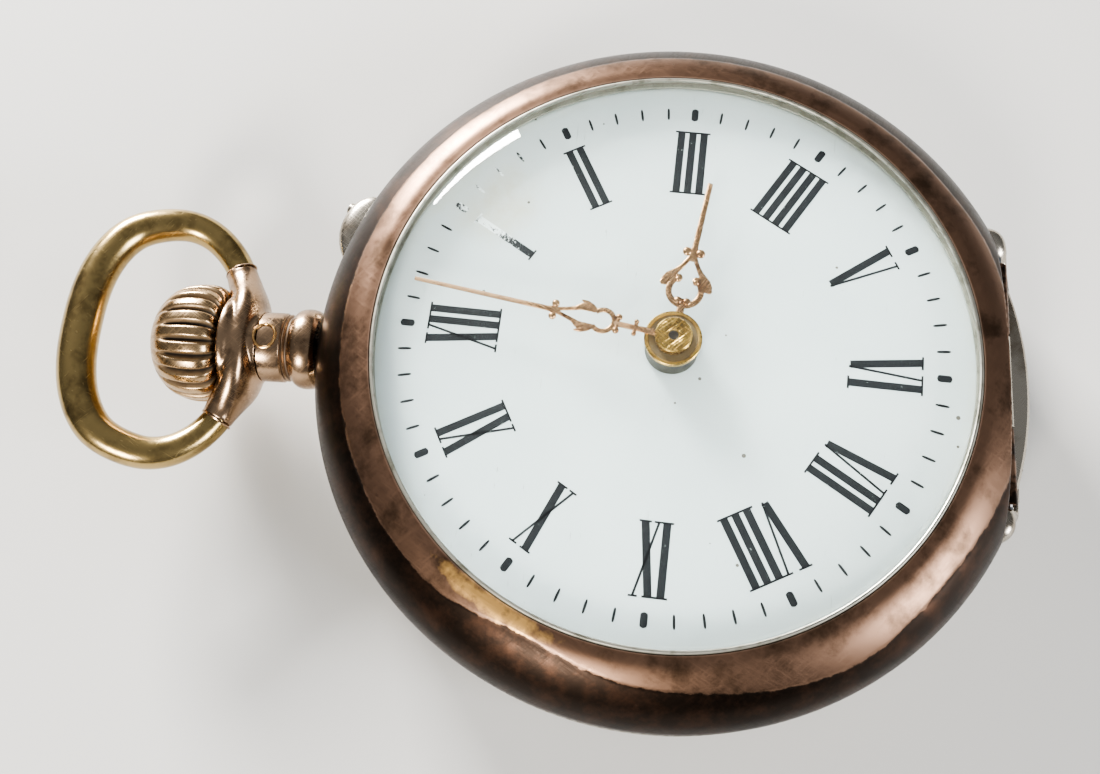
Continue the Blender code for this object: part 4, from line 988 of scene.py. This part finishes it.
@dataclass
class Pendant:
    """Neck, saddle-shaped head with two ears, ribbed crown and bow."""

    ribs: int = 22
    head_y: tuple[float, float] = (27.0, 29.4)
    rib_depth: float = 0.42
    bow_centre: float = 4.1
    bow_half_width: float = 8.1
    bow_half_length: float = 5.4
    bow_lift: float = 15.0        # degrees
    peg_r: float = 0.42
    stamp_y: float = 26.45
    stamp_half: tuple[float, float] = (0.82, 0.72)

    def neck(self) -> Shell:
        """The neck: a barrel, a groove with a fine bead, and a plain collar under the head."""
        y0, y1 = span("pendant_neck")[0][1], span("pendant_neck")[1][1]
        swell = flowing([(2.35, 0), (2.6, 0.3), (2.7, 0.85), (2.6, 1.4), (2.28, 1.8)], 25)
        rest = np.array([(2.18, 1.84), (2.1, 1.92), (2.1, 2.0), (2.22, 2.06), (2.27, 2.12),
                         (2.22, 2.18), (2.12, 2.24), (2.26, 2.32), (2.34, 2.45), (2.34, y1 - y0)])
        profile = np.vstack([[(0.85, 0)], swell, rest, [(0.85, y1 - y0)]])
        profile[:, 1] += y0
        shell = turned(profile, 128)
        hollow = np.exp(-((shell.points[:, 2] - y0 - 1.96) / 0.08) ** 2)
        hollow += np.exp(-((shell.points[:, 2] - y0 - 2.23) / 0.05) ** 2)
        shell.marks = {"grime": np.clip(hollow, 0, 1) * 0.9}
        return shell.moved(towards(0, STEM_Z))

    def cartouche(self) -> Shell:
        """The raised rim of a blank oval stamp on the neck, towards the dial side."""
        t = np.linspace(0, TURN, 65)
        wide, long = self.stamp_half
        x, along = wide * np.sin(t), self.stamp_y + long * np.cos(t)
        z = STEM_Z + np.sqrt(2.36**2 - x**2)
        return sweep(np.column_stack([x, along, z]), 0.1, 0.1, sides=10)

    def head(self) -> list[Shell]:
        """The head's solids before they are welded: a bell, a collar and two ears."""
        y0, y1 = self.head_y
        bell = turned([(0, y0), (2.42, y0), (2.46, y0 + 0.4), (2.62, y0 + 0.9), (2.86, y0 + 1.35),
                       (3.1, y1 - 0.66), (3.24, y1 - 0.5), (3.26, y1 - 0.08), (3.18, y1),
                       (0, y1)], 96, shut=False)
        parts = [bell.moved(towards(0, STEM_Z))]
        knots = np.array([(0.0, y0 + 1.2, 1.12, 3.0), (1.5, y0 + 1.2, 1.15, 2.82),
                          (2.8, y0 + 1.42, 1.18, 2.36), (4.0, y0 + 1.95, 1.12, 1.6),
                          (4.8, y0 + 2.32, 1.07, 1.16), (5.3, BOW_PIVOT[1] + 0.02, 1.04, 1.06)])
        for side in (-1, 1):
            line = flowing(knots, 40)
            path = np.column_stack([side * line[:, 0], line[:, 1], np.full(40, STEM_Z)])
            parts.append(sweep(path, line[:, 2], line[:, 3], sides=36, square=2.15))
        return parts

    def seams(self) -> list[Shell]:
        """Thin rings where the bow enters the ears."""
        parts = []
        for side in (-1, 1):
            ring = turned([(0.9, -0.07), (1.06, -0.07), (1.1, 0), (1.06, 0.07), (0.9, 0.07)], 64)
            turn = Matrix.Rotation(np.radians(90), 4, "Y")
            lean = Matrix.Rotation(np.radians(side * 28), 4, "Z")
            parts.append(ring.moved(Matrix.Translation((side * 5.3, BOW_PIVOT[1] + 0.03, STEM_Z))
                                    @ lean @ turn))
        return parts

    def crown(self) -> Shell:
        """The crown: R(t) (1 - d(t) g(a)), with g narrow hollows between rounded ribs."""
        (low, _, _), (high, _, _) = span("crown")
        y0, y1 = span("crown")[0][1], span("crown")[1][1]
        girth = (high - low) / 2
        line = flowing([(0.66, 0.0), (0.86, 0.18), (0.97, 0.7), (1.0, 1.5), (0.985, 2.25),
                        (0.93, 3.0), (0.82, 3.7), (0.64, 4.32), (0.42, 4.76)], 64)
        line[:, 0] *= girth
        t = np.linspace(0, 1, len(line))
        full = self.rib_depth / girth
        depth = full * smoothstep(0.0, 0.06, t) * (1 - 0.8 * smoothstep(0.58, 0.74, t))
        depth *= 1 - smoothstep(0.84, 0.95, t)
        top = np.array([(0.28 * girth, 4.91), (0.13 * girth, 4.97), (0, y1 - y0)])
        profile = np.vstack([[(0, 0.0)], line, top])
        depth = np.concatenate([[0], depth, [0, 0, 0]])[:, None]
        a = np.arange(self.ribs * 16)[None] * TURN / (self.ribs * 16)
        hollow = (0.5 + 0.5 * np.cos(self.ribs * a)) ** 4.5
        r = profile[:, :1] * (1 - depth * hollow)
        grid = np.stack([r * np.sin(a), r * np.cos(a), y0 + profile[:, 1:] + 0 * a], axis=-1)
        grime = np.clip(1.1 * depth / full, 0, 1) * hollow**0.8
        return skin(grid, {"grime": grime}).moved(towards(0, STEM_Z))

    def bow(self) -> list[Shell]:
        """The bow: round wire on an oval whose outer half is squarer, and its two pegs.

        A point is (-w |cos a|^e, c + l |sin a|^e), signs kept, with e falling from 1 to 0.84
        past the ring's widest place.
        """
        start = -np.arcsin(self.bow_centre / self.bow_half_length)
        t = np.linspace(0, 1, 140)
        angle = start + (np.pi - 2 * start) * t
        power = 1 - 0.16 * smoothstep(0.0, 0.6, np.sin(angle))
        x = -self.bow_half_width * np.sign(np.cos(angle)) * np.abs(np.cos(angle)) ** power
        reach = self.bow_centre + self.bow_half_length * (
            np.sign(np.sin(angle)) * np.abs(np.sin(angle)) ** power)
        lift = np.radians(self.bow_lift)
        path = np.column_stack([x, BOW_PIVOT[1] + reach * np.cos(lift),
                                BOW_PIVOT[2] + reach * np.sin(lift)])
        radius = 0.96 + 0.29 * np.sin(np.pi * t) ** 1.3
        up = (0, -np.sin(lift), np.cos(lift))
        ring = sweep(path, radius, radius, up=up, sides=32)
        pegs = [rod(self.peg_r, low, high).moved(across(0, BOW_PIVOT[1], BOW_PIVOT[2]))
                for low, high in ((4.4, 5.9), (-5.9, -4.4))]
        return [ring, *pegs]

    def build(self) -> None:
        """Make the pendant's pieces."""
        make("neck", [self.neck()], PENDANT_GILT, "case", ["pendant_neck"])
        make("blank_stamp", [self.cartouche()], STAMP_GOLD, "case")
        make("bow_seams", self.seams(), PENDANT_GILT, "case")
        head = make("head", self.head(), PENDANT_GILT, "case", ["pendant_head"])
        fuse(head, voxel_mm=0.09, rounds=22)
        make("ribbed_crown", [self.crown()], CROWN_GILT, "crown", ["crown"])
        make("bow_ring", self.bow(), BOW_BRASS, "bow", ["bow"])


class Stroke(Enum):
    """The weights of a pen stroke on the dial, mm wide."""

    THICK = 0.48
    THIN = 0.14
    SERIF = 0.12
    MINUTE = 0.16
    FIVE = 0.44


@dataclass
class Dial:
    """The enamel dial with its painted numerals and minute ring."""

    inner_r: float = 10.9
    outer_r: float = 15.36
    track_r: float = 16.7
    tick: float = 0.86
    paint: float = 0.012
    pitch: float = 0.74           # from one upright to the next
    worn_angle: float = 35.0      # clock angle on the dial of the rubbed spot
    worn_r: float = 14.9
    numerals: tuple[str, ...] = ("XII", "I", "II", "III", "IIII", "V", "VI", "VII", "VIII", "IX",
                                 "X", "XI")

    def damage(self, x: Array, y: Array) -> Array:
        """How badly the dial is rubbed at points x, y, 0 to 1: a spot by the I, and the rim."""
        cx, cy = clock(self.worn_angle + DIAL_TURN, self.worn_r)
        a = np.radians(self.worn_angle + DIAL_TURN)
        outward = (x - cx) * np.sin(a) + (y - cy) * np.cos(a)
        aside = (x - cx) * np.cos(a) - (y - cy) * np.sin(a)
        spot = np.exp(-(outward / 2.7) ** 2 - ((aside - 0.4) / 3.6) ** 2)
        edge = 0.45 * smoothstep(16.9, 18.6, np.hypot(x, y))
        return np.clip(spot + edge, 0, 1)

    def plate(self) -> Shell:
        """The enamel plate: flat, rolled over at its rim and at the centre hole."""
        low, high = span("dial")
        rim = high[0]
        roll = np.linspace(0, np.pi / 2, 8)
        outer = np.column_stack([rim - 0.4 + 0.4 * np.sin(roll),
                                 high[2] - 0.3 * (1 - np.cos(roll))])
        face = np.column_stack([np.linspace(1.5, rim - 0.45, 40), np.full(40, high[2])])
        profile = np.vstack([[(1.3, low[2]), (1.3, high[2] - 0.15), (1.36, high[2] - 0.04)], face,
                             outer, [(rim, low[2] + 0.1), (rim - 0.1, low[2])]])
        shell = turned(profile, 256)
        shell.marks = {"damage": self.damage(shell.points[:, 0], shell.points[:, 1])}
        return shell

    def inlay(self, start: Array, end: Array, width: Array, stations: Array) -> Shell:
        """Thin raised strokes, all at once.

        Args:
            start: (n, 2) first ends, mm.
            end: (n, 2) last ends.
            width: (n,) stroke widths.
            stations: (m, 2) share of the length and of the width along a stroke.
        Returns:
            one surface holding n closed strokes.
        """
        along = end - start
        unit = along / np.linalg.norm(along, axis=1, keepdims=True)
        side = np.column_stack([unit[:, 1], -unit[:, 0]])
        middle = start[:, None] + along[:, None] * stations[None, :, :1]
        offset = side[:, None] * width[:, None, None] * 0.5 * stations[None, :, 1:]
        low, high = DIAL_TOP - self.paint, DIAL_TOP + self.paint
        corners = [(middle - offset, low), (middle - offset, high), (middle + offset, high),
                   (middle + offset, low)]
        grid = np.stack([np.concatenate([xy, np.full((*xy.shape[:2], 1), z)], axis=-1)
                         for xy, z in corners], axis=2)
        ends = np.broadcast_to(grid.mean(axis=2, keepdims=True), grid.shape)
        grid = np.concatenate([ends[:, :1], grid, ends[:, -1:]], axis=1)
        strokes = [skin(g) for g in grid]
        size = len(strokes[0].points)
        points = np.concatenate([s.points for s in strokes])
        quads = np.concatenate([s.quads + i * size for i, s in enumerate(strokes)])
        return Shell(points, quads, {"damage": self.damage(points[:, 0], points[:, 1])})

    def glyph(self, letter: str, x: float) -> tuple[list[tuple], float]:
        """Strokes of one letter.

        A stroke is (x0, v0, x1, v1, weight), with v from 0 at the foot to 1 at the top.

        Args:
            letter: I, V or X.
            x: where the letter stands, mm.
        Returns:
            the strokes, and the x where the next letter stands.
        """
        thick, thin, serif = Stroke.THICK, Stroke.THIN, Stroke.SERIF
        half = thick.value / 2
        if letter == "I":
            mid = x + half
            return [(mid, 0, mid, 1, thick), (mid - 0.41, 0.0, mid + 0.41, 0.0, serif),
                    (mid - 0.41, 1.0, mid + 0.41, 1.0, serif)], x + self.pitch
        if letter == "V":
            left, foot, right = x + half, x + 0.84, x + 1.38
            return [(left, 1, foot - 0.04, 0.02, thick), (right, 1, foot + 0.08, 0, thin),
                    (left - 0.4, 1.0, left + 0.45, 1.0, serif),
                    (right - 0.3, 1.0, right + 0.24, 1.0, serif)], x + 1.72
        left = x + half
        return [(left, 1, left + 0.56, 0, thick), (left + 0.9, 1, left - 0.26, 0, thin),
                (left - 0.38, 1.0, left + 0.36, 1.0, serif),
                (left + 0.62, 1.0, left + 1.16, 1.0, serif),
                (left - 0.5, 0.0, left + 0.02, 0.0, serif),
                (left + 0.18, 0.0, left + 0.92, 0.0, serif)], x + 1.3

    def numeral(self, text: str, hour: int) -> tuple[Array, Array, Array]:
        """Strokes of one numeral, its top outwards.

        Args:
            text: the numeral's letters.
            hour: the hour where it stands.
        Returns:
            the strokes' first ends, last ends and widths, mm.
        """
        strokes, x = [], 0.0
        for letter in text:
            made, x = self.glyph(letter, x)
            strokes += made
        inked = [s for s in strokes if s[4] is not Stroke.SERIF]
        middle = (min(min(s[0], s[2]) for s in inked) + max(max(s[0], s[2]) for s in inked)) / 2
        values = np.array([(s[0] - middle, s[1], s[2] - middle, s[3], s[4].value) for s in strokes])
        height = self.outer_r - self.inner_r
        a = np.radians(30 * hour + DIAL_TURN)
        clockwise, outward = np.array([np.cos(a), -np.sin(a)]), np.array([np.sin(a), np.cos(a)])
        starts = (values[:, :1] * clockwise + (self.inner_r + values[:, 1:2] * height) * outward)
        ends = (values[:, 2:3] * clockwise + (self.inner_r + values[:, 3:4] * height) * outward)
        return starts, ends, values[:, 4]

    def paintwork(self) -> list[Shell]:
        """All numerals, minute ticks and five-minute marks."""
        drawn = [self.numeral(text, hour) for hour, text in enumerate(self.numerals)]
        starts, ends, widths = (np.concatenate([d[i] for d in drawn]) for i in range(3))
        thick = widths == Stroke.THICK.value
        straight = np.column_stack([np.linspace(0, 1, 13), np.ones(13)])
        parts = [self.inlay(starts[chosen], ends[chosen], widths[chosen], straight)
                 for chosen in (thick, ~thick)]
        minutes = np.arange(60)
        a = np.radians(6 * minutes + DIAL_TURN)
        ray = np.column_stack([np.sin(a), np.cos(a)])
        five = minutes % 5 == 0
        t = np.linspace(-1, 1, 13)
        pill = np.column_stack([0.5 + 0.5 * t, np.clip(1 - np.abs(t) ** 7, 0.0, 1) ** 0.5 + 0.02])
        leaf = np.column_stack([0.5 + 0.5 * t, 0.45 + 0.55 * np.clip(1 - t**4, 0, 1)])
        for chosen, weight, shape, length in ((five, Stroke.FIVE, pill, self.tick + 0.08),
                                              (~five, Stroke.MINUTE, leaf, self.tick)):
            near, far = self.track_r - length / 2, self.track_r + length / 2
            width = np.full(chosen.sum(), weight.value)
            parts.append(self.inlay(ray[chosen] * near, ray[chosen] * far, width, shape))
        return parts

    def build(self) -> None:
        """Make the dial's pieces."""
        make("dial_plate", [self.plate()], Enamel(), "case", ["dial"])
        make("dial_paint", self.paintwork(), DialInk(), "case", crisp=30)


@dataclass
class Hand:
    """One pierced Louis hand, laid out along +Y from the hand axis and then turned."""

    name: str
    body: str
    node: str
    length: float
    clock_angle: float
    boss_r: float
    boss_top: float
    root_z: float                 # height of the blade's middle at the hub
    drop: float                   # and how much lower the tip is
    blade: tuple[float, float]    # half widths at the blade's root and tip
    half_thick: float = 0.09

    def strip(self, points: Sequence, half_width: Array | Sequence | float,
              samples: int = 24) -> Shell:
        """A rounded strip on the hand's own level.

        Args:
            points: (along, across) points that it passes.
            half_width: half its width, one number or a few along it.
            samples: stations along it.
        Returns:
            the closed strip.
        """
        path = flowing([(c, a, self.level(a)) for a, c in points], samples)
        if np.ndim(half_width):
            knots = np.linspace(0, 1, len(half_width))
            half_width = np.interp(np.linspace(0, 1, samples), knots, half_width)
        return sweep(path, half_width, self.half_thick, sides=14, square=2.6)

    def level(self, along: float) -> float:
        """Height of the hand's middle at a distance from its hub: it slopes down to the tip."""
        return self.root_z - self.drop * along / self.length

    def bead(self, along: float, aside: float, radius: float) -> Shell:
        """A round bead standing a little proud of the blade."""
        return ball((aside, along, self.level(along) + 0.02), (radius, radius, min(radius, 0.17)))

    def pair(self, shells: Sequence[Shell]) -> list[Shell]:
        """Shells and their mirror images across the hand's middle line."""
        return [*shells, *(s.mirrored(0) for s in shells)]

    def ring(self, centre: float, radius: float, opening: float, half_width: float) -> Shell:
        """A ring that is open towards the tip.

        Args:
            centre: its middle's distance from the hub, mm.
            radius: radius of its middle line.
            opening: half the angle left open, degrees.
            half_width: half the strip's width.
        Returns:
            the ring.
        """
        a = np.radians(np.linspace(opening, 360 - opening, 40))
        points = np.column_stack([centre + radius * np.cos(a), radius * np.sin(a)])
        return self.strip(points, half_width, 72)

    def parts(self) -> list[Shell]:
        """The hand's ornament and blade."""
        raise NotImplementedError

    def hub(self) -> list[Shell]:
        """The hand's boss."""
        raise NotImplementedError

    def filed(self, radius: float, top: float, depth: float, seed: int) -> Shell:
        """A disc filed across: its top sinks by a sum of sines over one direction.

        Args:
            radius: the disc's radius, mm.
            top: height of its top.
            depth: depth of the deepest file mark.
            seed: picks the marks.
        Returns:
            the closed disc.
        """
        r = np.linspace(0, radius, 28)[:, None]
        a = np.arange(72)[None] * TURN / 72
        x, y = r * np.sin(a), r * np.cos(a)
        cut = 0.5 + 0.5 * wander((x * 0.75 + y * 0.66) * 4.5 / radius, seed, waves=6, first=2) / 1.6
        pit = 1 - smoothstep(0.28, 0.36, r)
        z = top - depth * np.clip(cut, 0, 1) * (1 - pit) - 0.2 * pit
        grime = pit + 0 * a + 0.5 * (1 - smoothstep(0.0, 0.35, cut)) * (1 - pit)
        face = np.stack([x, y, z], axis=-1)
        side = np.stack([x[-1], y[-1], np.full(72, top - 0.3)], axis=-1)[None]
        floor = np.broadcast_to(np.array([0, 0, top - 0.3]), (1, 72, 3))
        marks = np.vstack([grime, 0 * grime[:2]])
        return skin(np.concatenate([face, side, floor]), {"grime": marks})

    def build(self) -> None:
        """Make the hand."""
        turn = Matrix.Rotation(np.radians(-(self.clock_angle + DIAL_TURN)), 4, "Z")
        parts = [s.moved(turn) for s in self.parts()]
        for part in parts:        # painted shade where a strip turns down to its sides
            drop = part.points[:, 2].max() - part.points[:, 2]
            part.marks = {"grime": 0.55 * smoothstep(0.09, 0.2, drop)}
        make(self.name, parts, HAND_GOLD, self.body, [self.node])
        make(self.name + "_hub", self.hub(), HUB_GOLD, self.body)


@dataclass
class HourHand(Hand):
    """The short hand: a crescent with spiked shoulders under a plain blade."""

    def parts(self) -> list[Shell]:
        """Neck, two inner beads, crescent with hooks, spikes, arms, beads and blade."""
        half = [self.bead(2.68, 0.28, 0.27),
                self.bead(4.1, 0.56, 0.21),
                self.strip([(4.18, 0.68), (4.28, 0.54), (4.1, 0.44)], (0.18, 0.2, 0.16)),
                self.strip([(3.62, 1.6), (3.82, 1.36), (4.2, 1.08), (4.7, 0.78)],
                           (0.1, 0.32, 0.38, 0.18)),
                self.strip([(4.5, 0.9), (5.15, 0.46), (5.8, 0.13)], (0.2, 0.14, 0.15)),
                self.bead(6.1, 0.42, 0.3)]
        return [self.strip([(1.6, 0), (2.85, 0)], (0.26, 0.22)),
                self.ring(3.42, 1.0, 44, 0.2),
                self.strip([(5.5, 0), (5.9, 0), (6.4, 0)], (0.14, 0.3, 0.22)),
                self.strip([(6.1, 0), (self.length, 0)], self.blade, 40),
                *self.pair(half)]

    def hub(self) -> list[Shell]:
        """A thin disc with a turned rim, on a dark collet that reaches down to the dial."""
        r, top = self.boss_r, self.boss_top
        disc = turned([(0.74, top - 0.3), (r - 0.04, top - 0.3), (r, top - 0.26), (r, top - 0.05),
                       (r - 0.05, top), (r - 0.2, top), (r - 0.27, top - 0.07),
                       (1.0, top - 0.08), (0.74, top - 0.08)], 144)
        radius = np.hypot(disc.points[:, 0], disc.points[:, 1])
        disc.marks = {"grime": 0.85 * np.exp(-((radius - r + 0.27) / 0.06) ** 2)
                      + 0.9 * (1 - smoothstep(1.15, 1.3, radius))}
        return [disc]

    def build(self) -> None:
        """Make the hand and the collet it is riveted to."""
        super().build()
        r, top = self.boss_r - 0.1, self.boss_top - 0.3
        collet = turned([(1.04, DIAL_TOP + 0.12), (r - 0.06, DIAL_TOP + 0.12),
                         (r, DIAL_TOP + 0.2), (r, top), (1.04, top)], 96)
        make("hour_collet", [collet], COLLET_BRONZE, self.body)


@dataclass
class MinuteHand(Hand):
    """The long hand: a collar, a ring with flame-like horns and a fine blade."""

    def parts(self) -> list[Shell]:
        """Neck, collar, beads, open ring, flames, legs, beads and blade."""
        half = [self.bead(2.38, 0.4, 0.16), self.bead(3.5, 0.44, 0.22),
                self.strip([(3.5, 0.1), (3.52, 0.42)], 0.12, 6),
                self.strip([(4.95, 0.52), (5.35, 0.66), (5.8, 0.62), (6.3, 0.38)],
                           (0.16, 0.3, 0.26, 0.12)),
                self.strip([(5.25, 0.72), (5.62, 0.92), (6.0, 1.0)], (0.2, 0.14, 0.04)),
                self.strip([(6.1, 0.44), (6.8, 0.24), (7.45, 0.07)], (0.14, 0.12, 0.12)),
                self.bead(7.52, 0.42, 0.25)]
        return [self.strip([(1.0, 0), (2.4, 0), (3.75, 0)], (0.22, 0.18, 0.2)),
                self.strip([(2.38, -0.42), (2.38, 0.42)], 0.13),
                self.ring(4.42, 0.7, 40, 0.16),
                self.strip([(7.1, 0), (7.55, 0), (7.9, 0)], (0.12, 0.26, 0.18)),
                self.strip([(7.5, 0), (self.length, 0)], self.blade, 60),
                *self.pair(half)]

    def hub(self) -> list[Shell]:
        """The upper boss, filed across its top round the pivot's pit."""
        r, top = self.boss_r, self.boss_top
        foot = top - 0.65
        wall = turned([(0.74, foot), (r - 0.05, foot), (r, foot + 0.05), (r, top - 0.12),
                       (r - 0.08, top - 0.03), (0.74, top - 0.1)], 96)
        return [wall, self.filed(r - 0.06, top, 0.1, 3)]


@dataclass
class Movement:
    """The going movement: the CAD nodes that stay, dressed in gilt, steel, blue and ruby."""

    gilt: tuple[str, ...] = ("main_plate", "barrel_bridge", "train_bridge", "escape_cock",
                             "balance_cock", "barrel", "barrel_lid", "centre_wheel",
                             "third_wheel", "fourth_wheel", "balance_wheel", "minute_wheel",
                             "hour_wheel")
    steel: tuple[str, ...] = ("bezel_hinge_pin", "back_hinge_pin", "cuvette_hinge_pin",
                              "winding_stem", "winding_pinion", "crown_wheel", "ratchet_wheel",
                              "barrel_arbor", "click", "regulator", "escape_wheel",
                              "cannon_pinion", "setting_lever", "setting_lever_post",
                              "minute_wheel_post")
    blue: tuple[str, ...] = ("hairspring", "mainspring", "click_spring", "bridge_screw_a",
                             "bridge_screw_b", "bridge_screw_c", "bridge_screw_d", "cock_screw",
                             "crown_wheel_screw", "click_screw")
    ruby: tuple[str, ...] = ("third_jewel", "fourth_jewel", "balance_cap")

    def build(self) -> None:
        """Dress the nodes."""
        for nodes, finish in ((self.gilt, MOVEMENT_GILT), (self.steel, MOVEMENT_STEEL),
                              (self.blue, FLAME_BLUE), (self.ruby, Ruby())):
            for name in nodes:
                mesh = frame["nodes"][name].data
                mesh.materials.clear()
                mesh.materials.append(material_of(finish))
            log.info("%d nodes in %s", len(nodes), finish.name)


@dataclass
class Studio:
    """A pale floor, a dim room, soft lamps, and the camera over the nine o'clock side."""

    camera_at: tuple[float, float, float] = (-24.72, 2.75, 76.76)      # mm
    camera_aim: tuple[float, float, float] = (-2.861, 7.381, 9.4)      # on the dial's level
    camera_roll: float = -4.76    # degrees, with +X up in the view at 0
    lens: float = 37.31           # mm, on a sensor 36 mm wide
    floor_half: float = 600.0     # mm

    def camera(self) -> None:
        """Place the camera: back to front its axes are right, up and back."""
        data = bpy.data.cameras.new("camera")
        data.lens = self.lens
        data.sensor_width = 36.0
        data.clip_start = 0.001
        data.clip_end = 10.0
        place, aim = Vector(self.camera_at), Vector(self.camera_aim)
        back = (place - aim).normalized()
        level = Vector((1, 0, 0))
        up = (level - level.dot(back) * back).normalized()
        turn = Matrix.Rotation(np.radians(-self.camera_roll), 3, back)
        up = turn @ up
        right = up.cross(back)
        axes = Matrix((right, up, back)).transposed().to_4x4()
        camera = bpy.data.objects.new("camera", data)
        camera.matrix_world = Matrix.Translation(place * MM) @ axes
        bpy.context.scene.collection.objects.link(camera)
        bpy.context.scene.camera = camera

    def floor(self) -> None:
        """A plain pale floor just under the part."""
        half, level = self.floor_half * MM, -0.00002
        mesh = bpy.data.meshes.new("floor")
        corners = [(-half, -half, level), (half, -half, level), (half, half, level),
                   (-half, half, level)]
        mesh.from_pydata(corners, [], [(0, 1, 2, 3)])
        made, tree = blank("floor")
        paper = add_node(tree, "TexNoise", {}, {"Vector": millimetres(tree), "Scale": 0.02})
        shade = add_node(tree, "Mix", {"data_type": "RGBA"}, {
            "Factor": paper.outputs[0], 6: linear("#C9C8C5"), 7: linear("#CFCECB")})
        body = add_node(tree, "BsdfPrincipled", {}, {"Base Color": shade.outputs[2],
                                                     "Roughness": 0.7})
        add_node(tree, "OutputMaterial", {}, {"Surface": body.outputs[0]})
        mesh.materials.append(made)
        stage = bpy.data.objects.new("floor", mesh)
        bpy.context.scene.collection.objects.link(stage)

    def lamp(self, name: str, place: Sequence[float], size: float, watts: float,
             colour: Sequence[float]) -> None:
        """A square soft lamp that faces the watch.

        Args:
            name: the lamp's name.
            place: its middle, mm.
            size: its side, mm.
            watts: its power.
            colour: linear red, green and blue.
        """
        data = bpy.data.lights.new(name, "AREA")
        data.size = size * MM
        data.energy = watts
        data.color = colour
        lamp = bpy.data.objects.new(name, data)
        spot = Vector(place)
        aim = (Vector((0, 4, 8)) - spot).to_track_quat("-Z", "Y").to_matrix().to_4x4()
        lamp.matrix_world = Matrix.Translation(spot * MM) @ aim
        bpy.context.scene.collection.objects.link(lamp)

    def room(self) -> None:
        """A room that is grey overhead and darker towards the horizon."""
        world = bpy.data.worlds.new("room")
        world.use_nodes = True
        tree = world.node_tree
        tree.nodes.clear()
        way = add_node(tree, "TexCoord").outputs["Generated"]
        height = add_node(tree, "SeparateXYZ", {}, {0: way}).outputs[2]
        rise = add_node(tree, "MapRange", {}, {"Value": height, "From Min": -0.1, "From Max": 0.9,
                                               "To Min": 0.08, "To Max": 0.36})
        sky = add_node(tree, "Background", {}, {"Color": (0.93, 0.96, 1.0, 1.0),
                                                "Strength": rise.outputs[0]})
        add_node(tree, "OutputWorld", {}, {"Surface": sky.outputs[0]})
        bpy.context.scene.world = world

    def build(self) -> None:
        """Set the stage."""
        self.camera()
        self.floor()
        self.room()
        self.lamp("key", (345, 225, 135), 130, 8.0, (1.0, 0.98, 0.95))
        self.lamp("low", (-300, 125, 215), 100, 1.7, (1.0, 0.95, 0.88))
        self.lamp("fill", (-150, -340, 150), 160, 1.8, (0.95, 0.97, 1.0))
        # a little more contrast, as in a studio print
        bpy.context.scene.view_settings.look = "AgX - Medium High Contrast"


def main() -> None:
    """Build the stage and every sub-assembly."""
    logging.basicConfig(level=logging.INFO, format="%(message)s")
    Studio().build()
    Case().build()
    Bezel().build()
    Dial().build()
    HourHand("hour_blade", "hour_hand", "hour_hand", length=11.1, clock_angle=97.2, boss_r=1.76,
             boss_top=11.5, root_z=11.0, drop=0.3, blade=(0.2, 0.17)).build()
    MinuteHand("minute_blade", "minute_hand", "minute_hand", length=16.7, clock_angle=8.9,
               boss_r=1.13, boss_top=12.18, root_z=11.72, drop=1.17, blade=(0.17, 0.13)).build()
    Pendant().build()
    Movement().build()


if __name__ == "__main__":
    main()
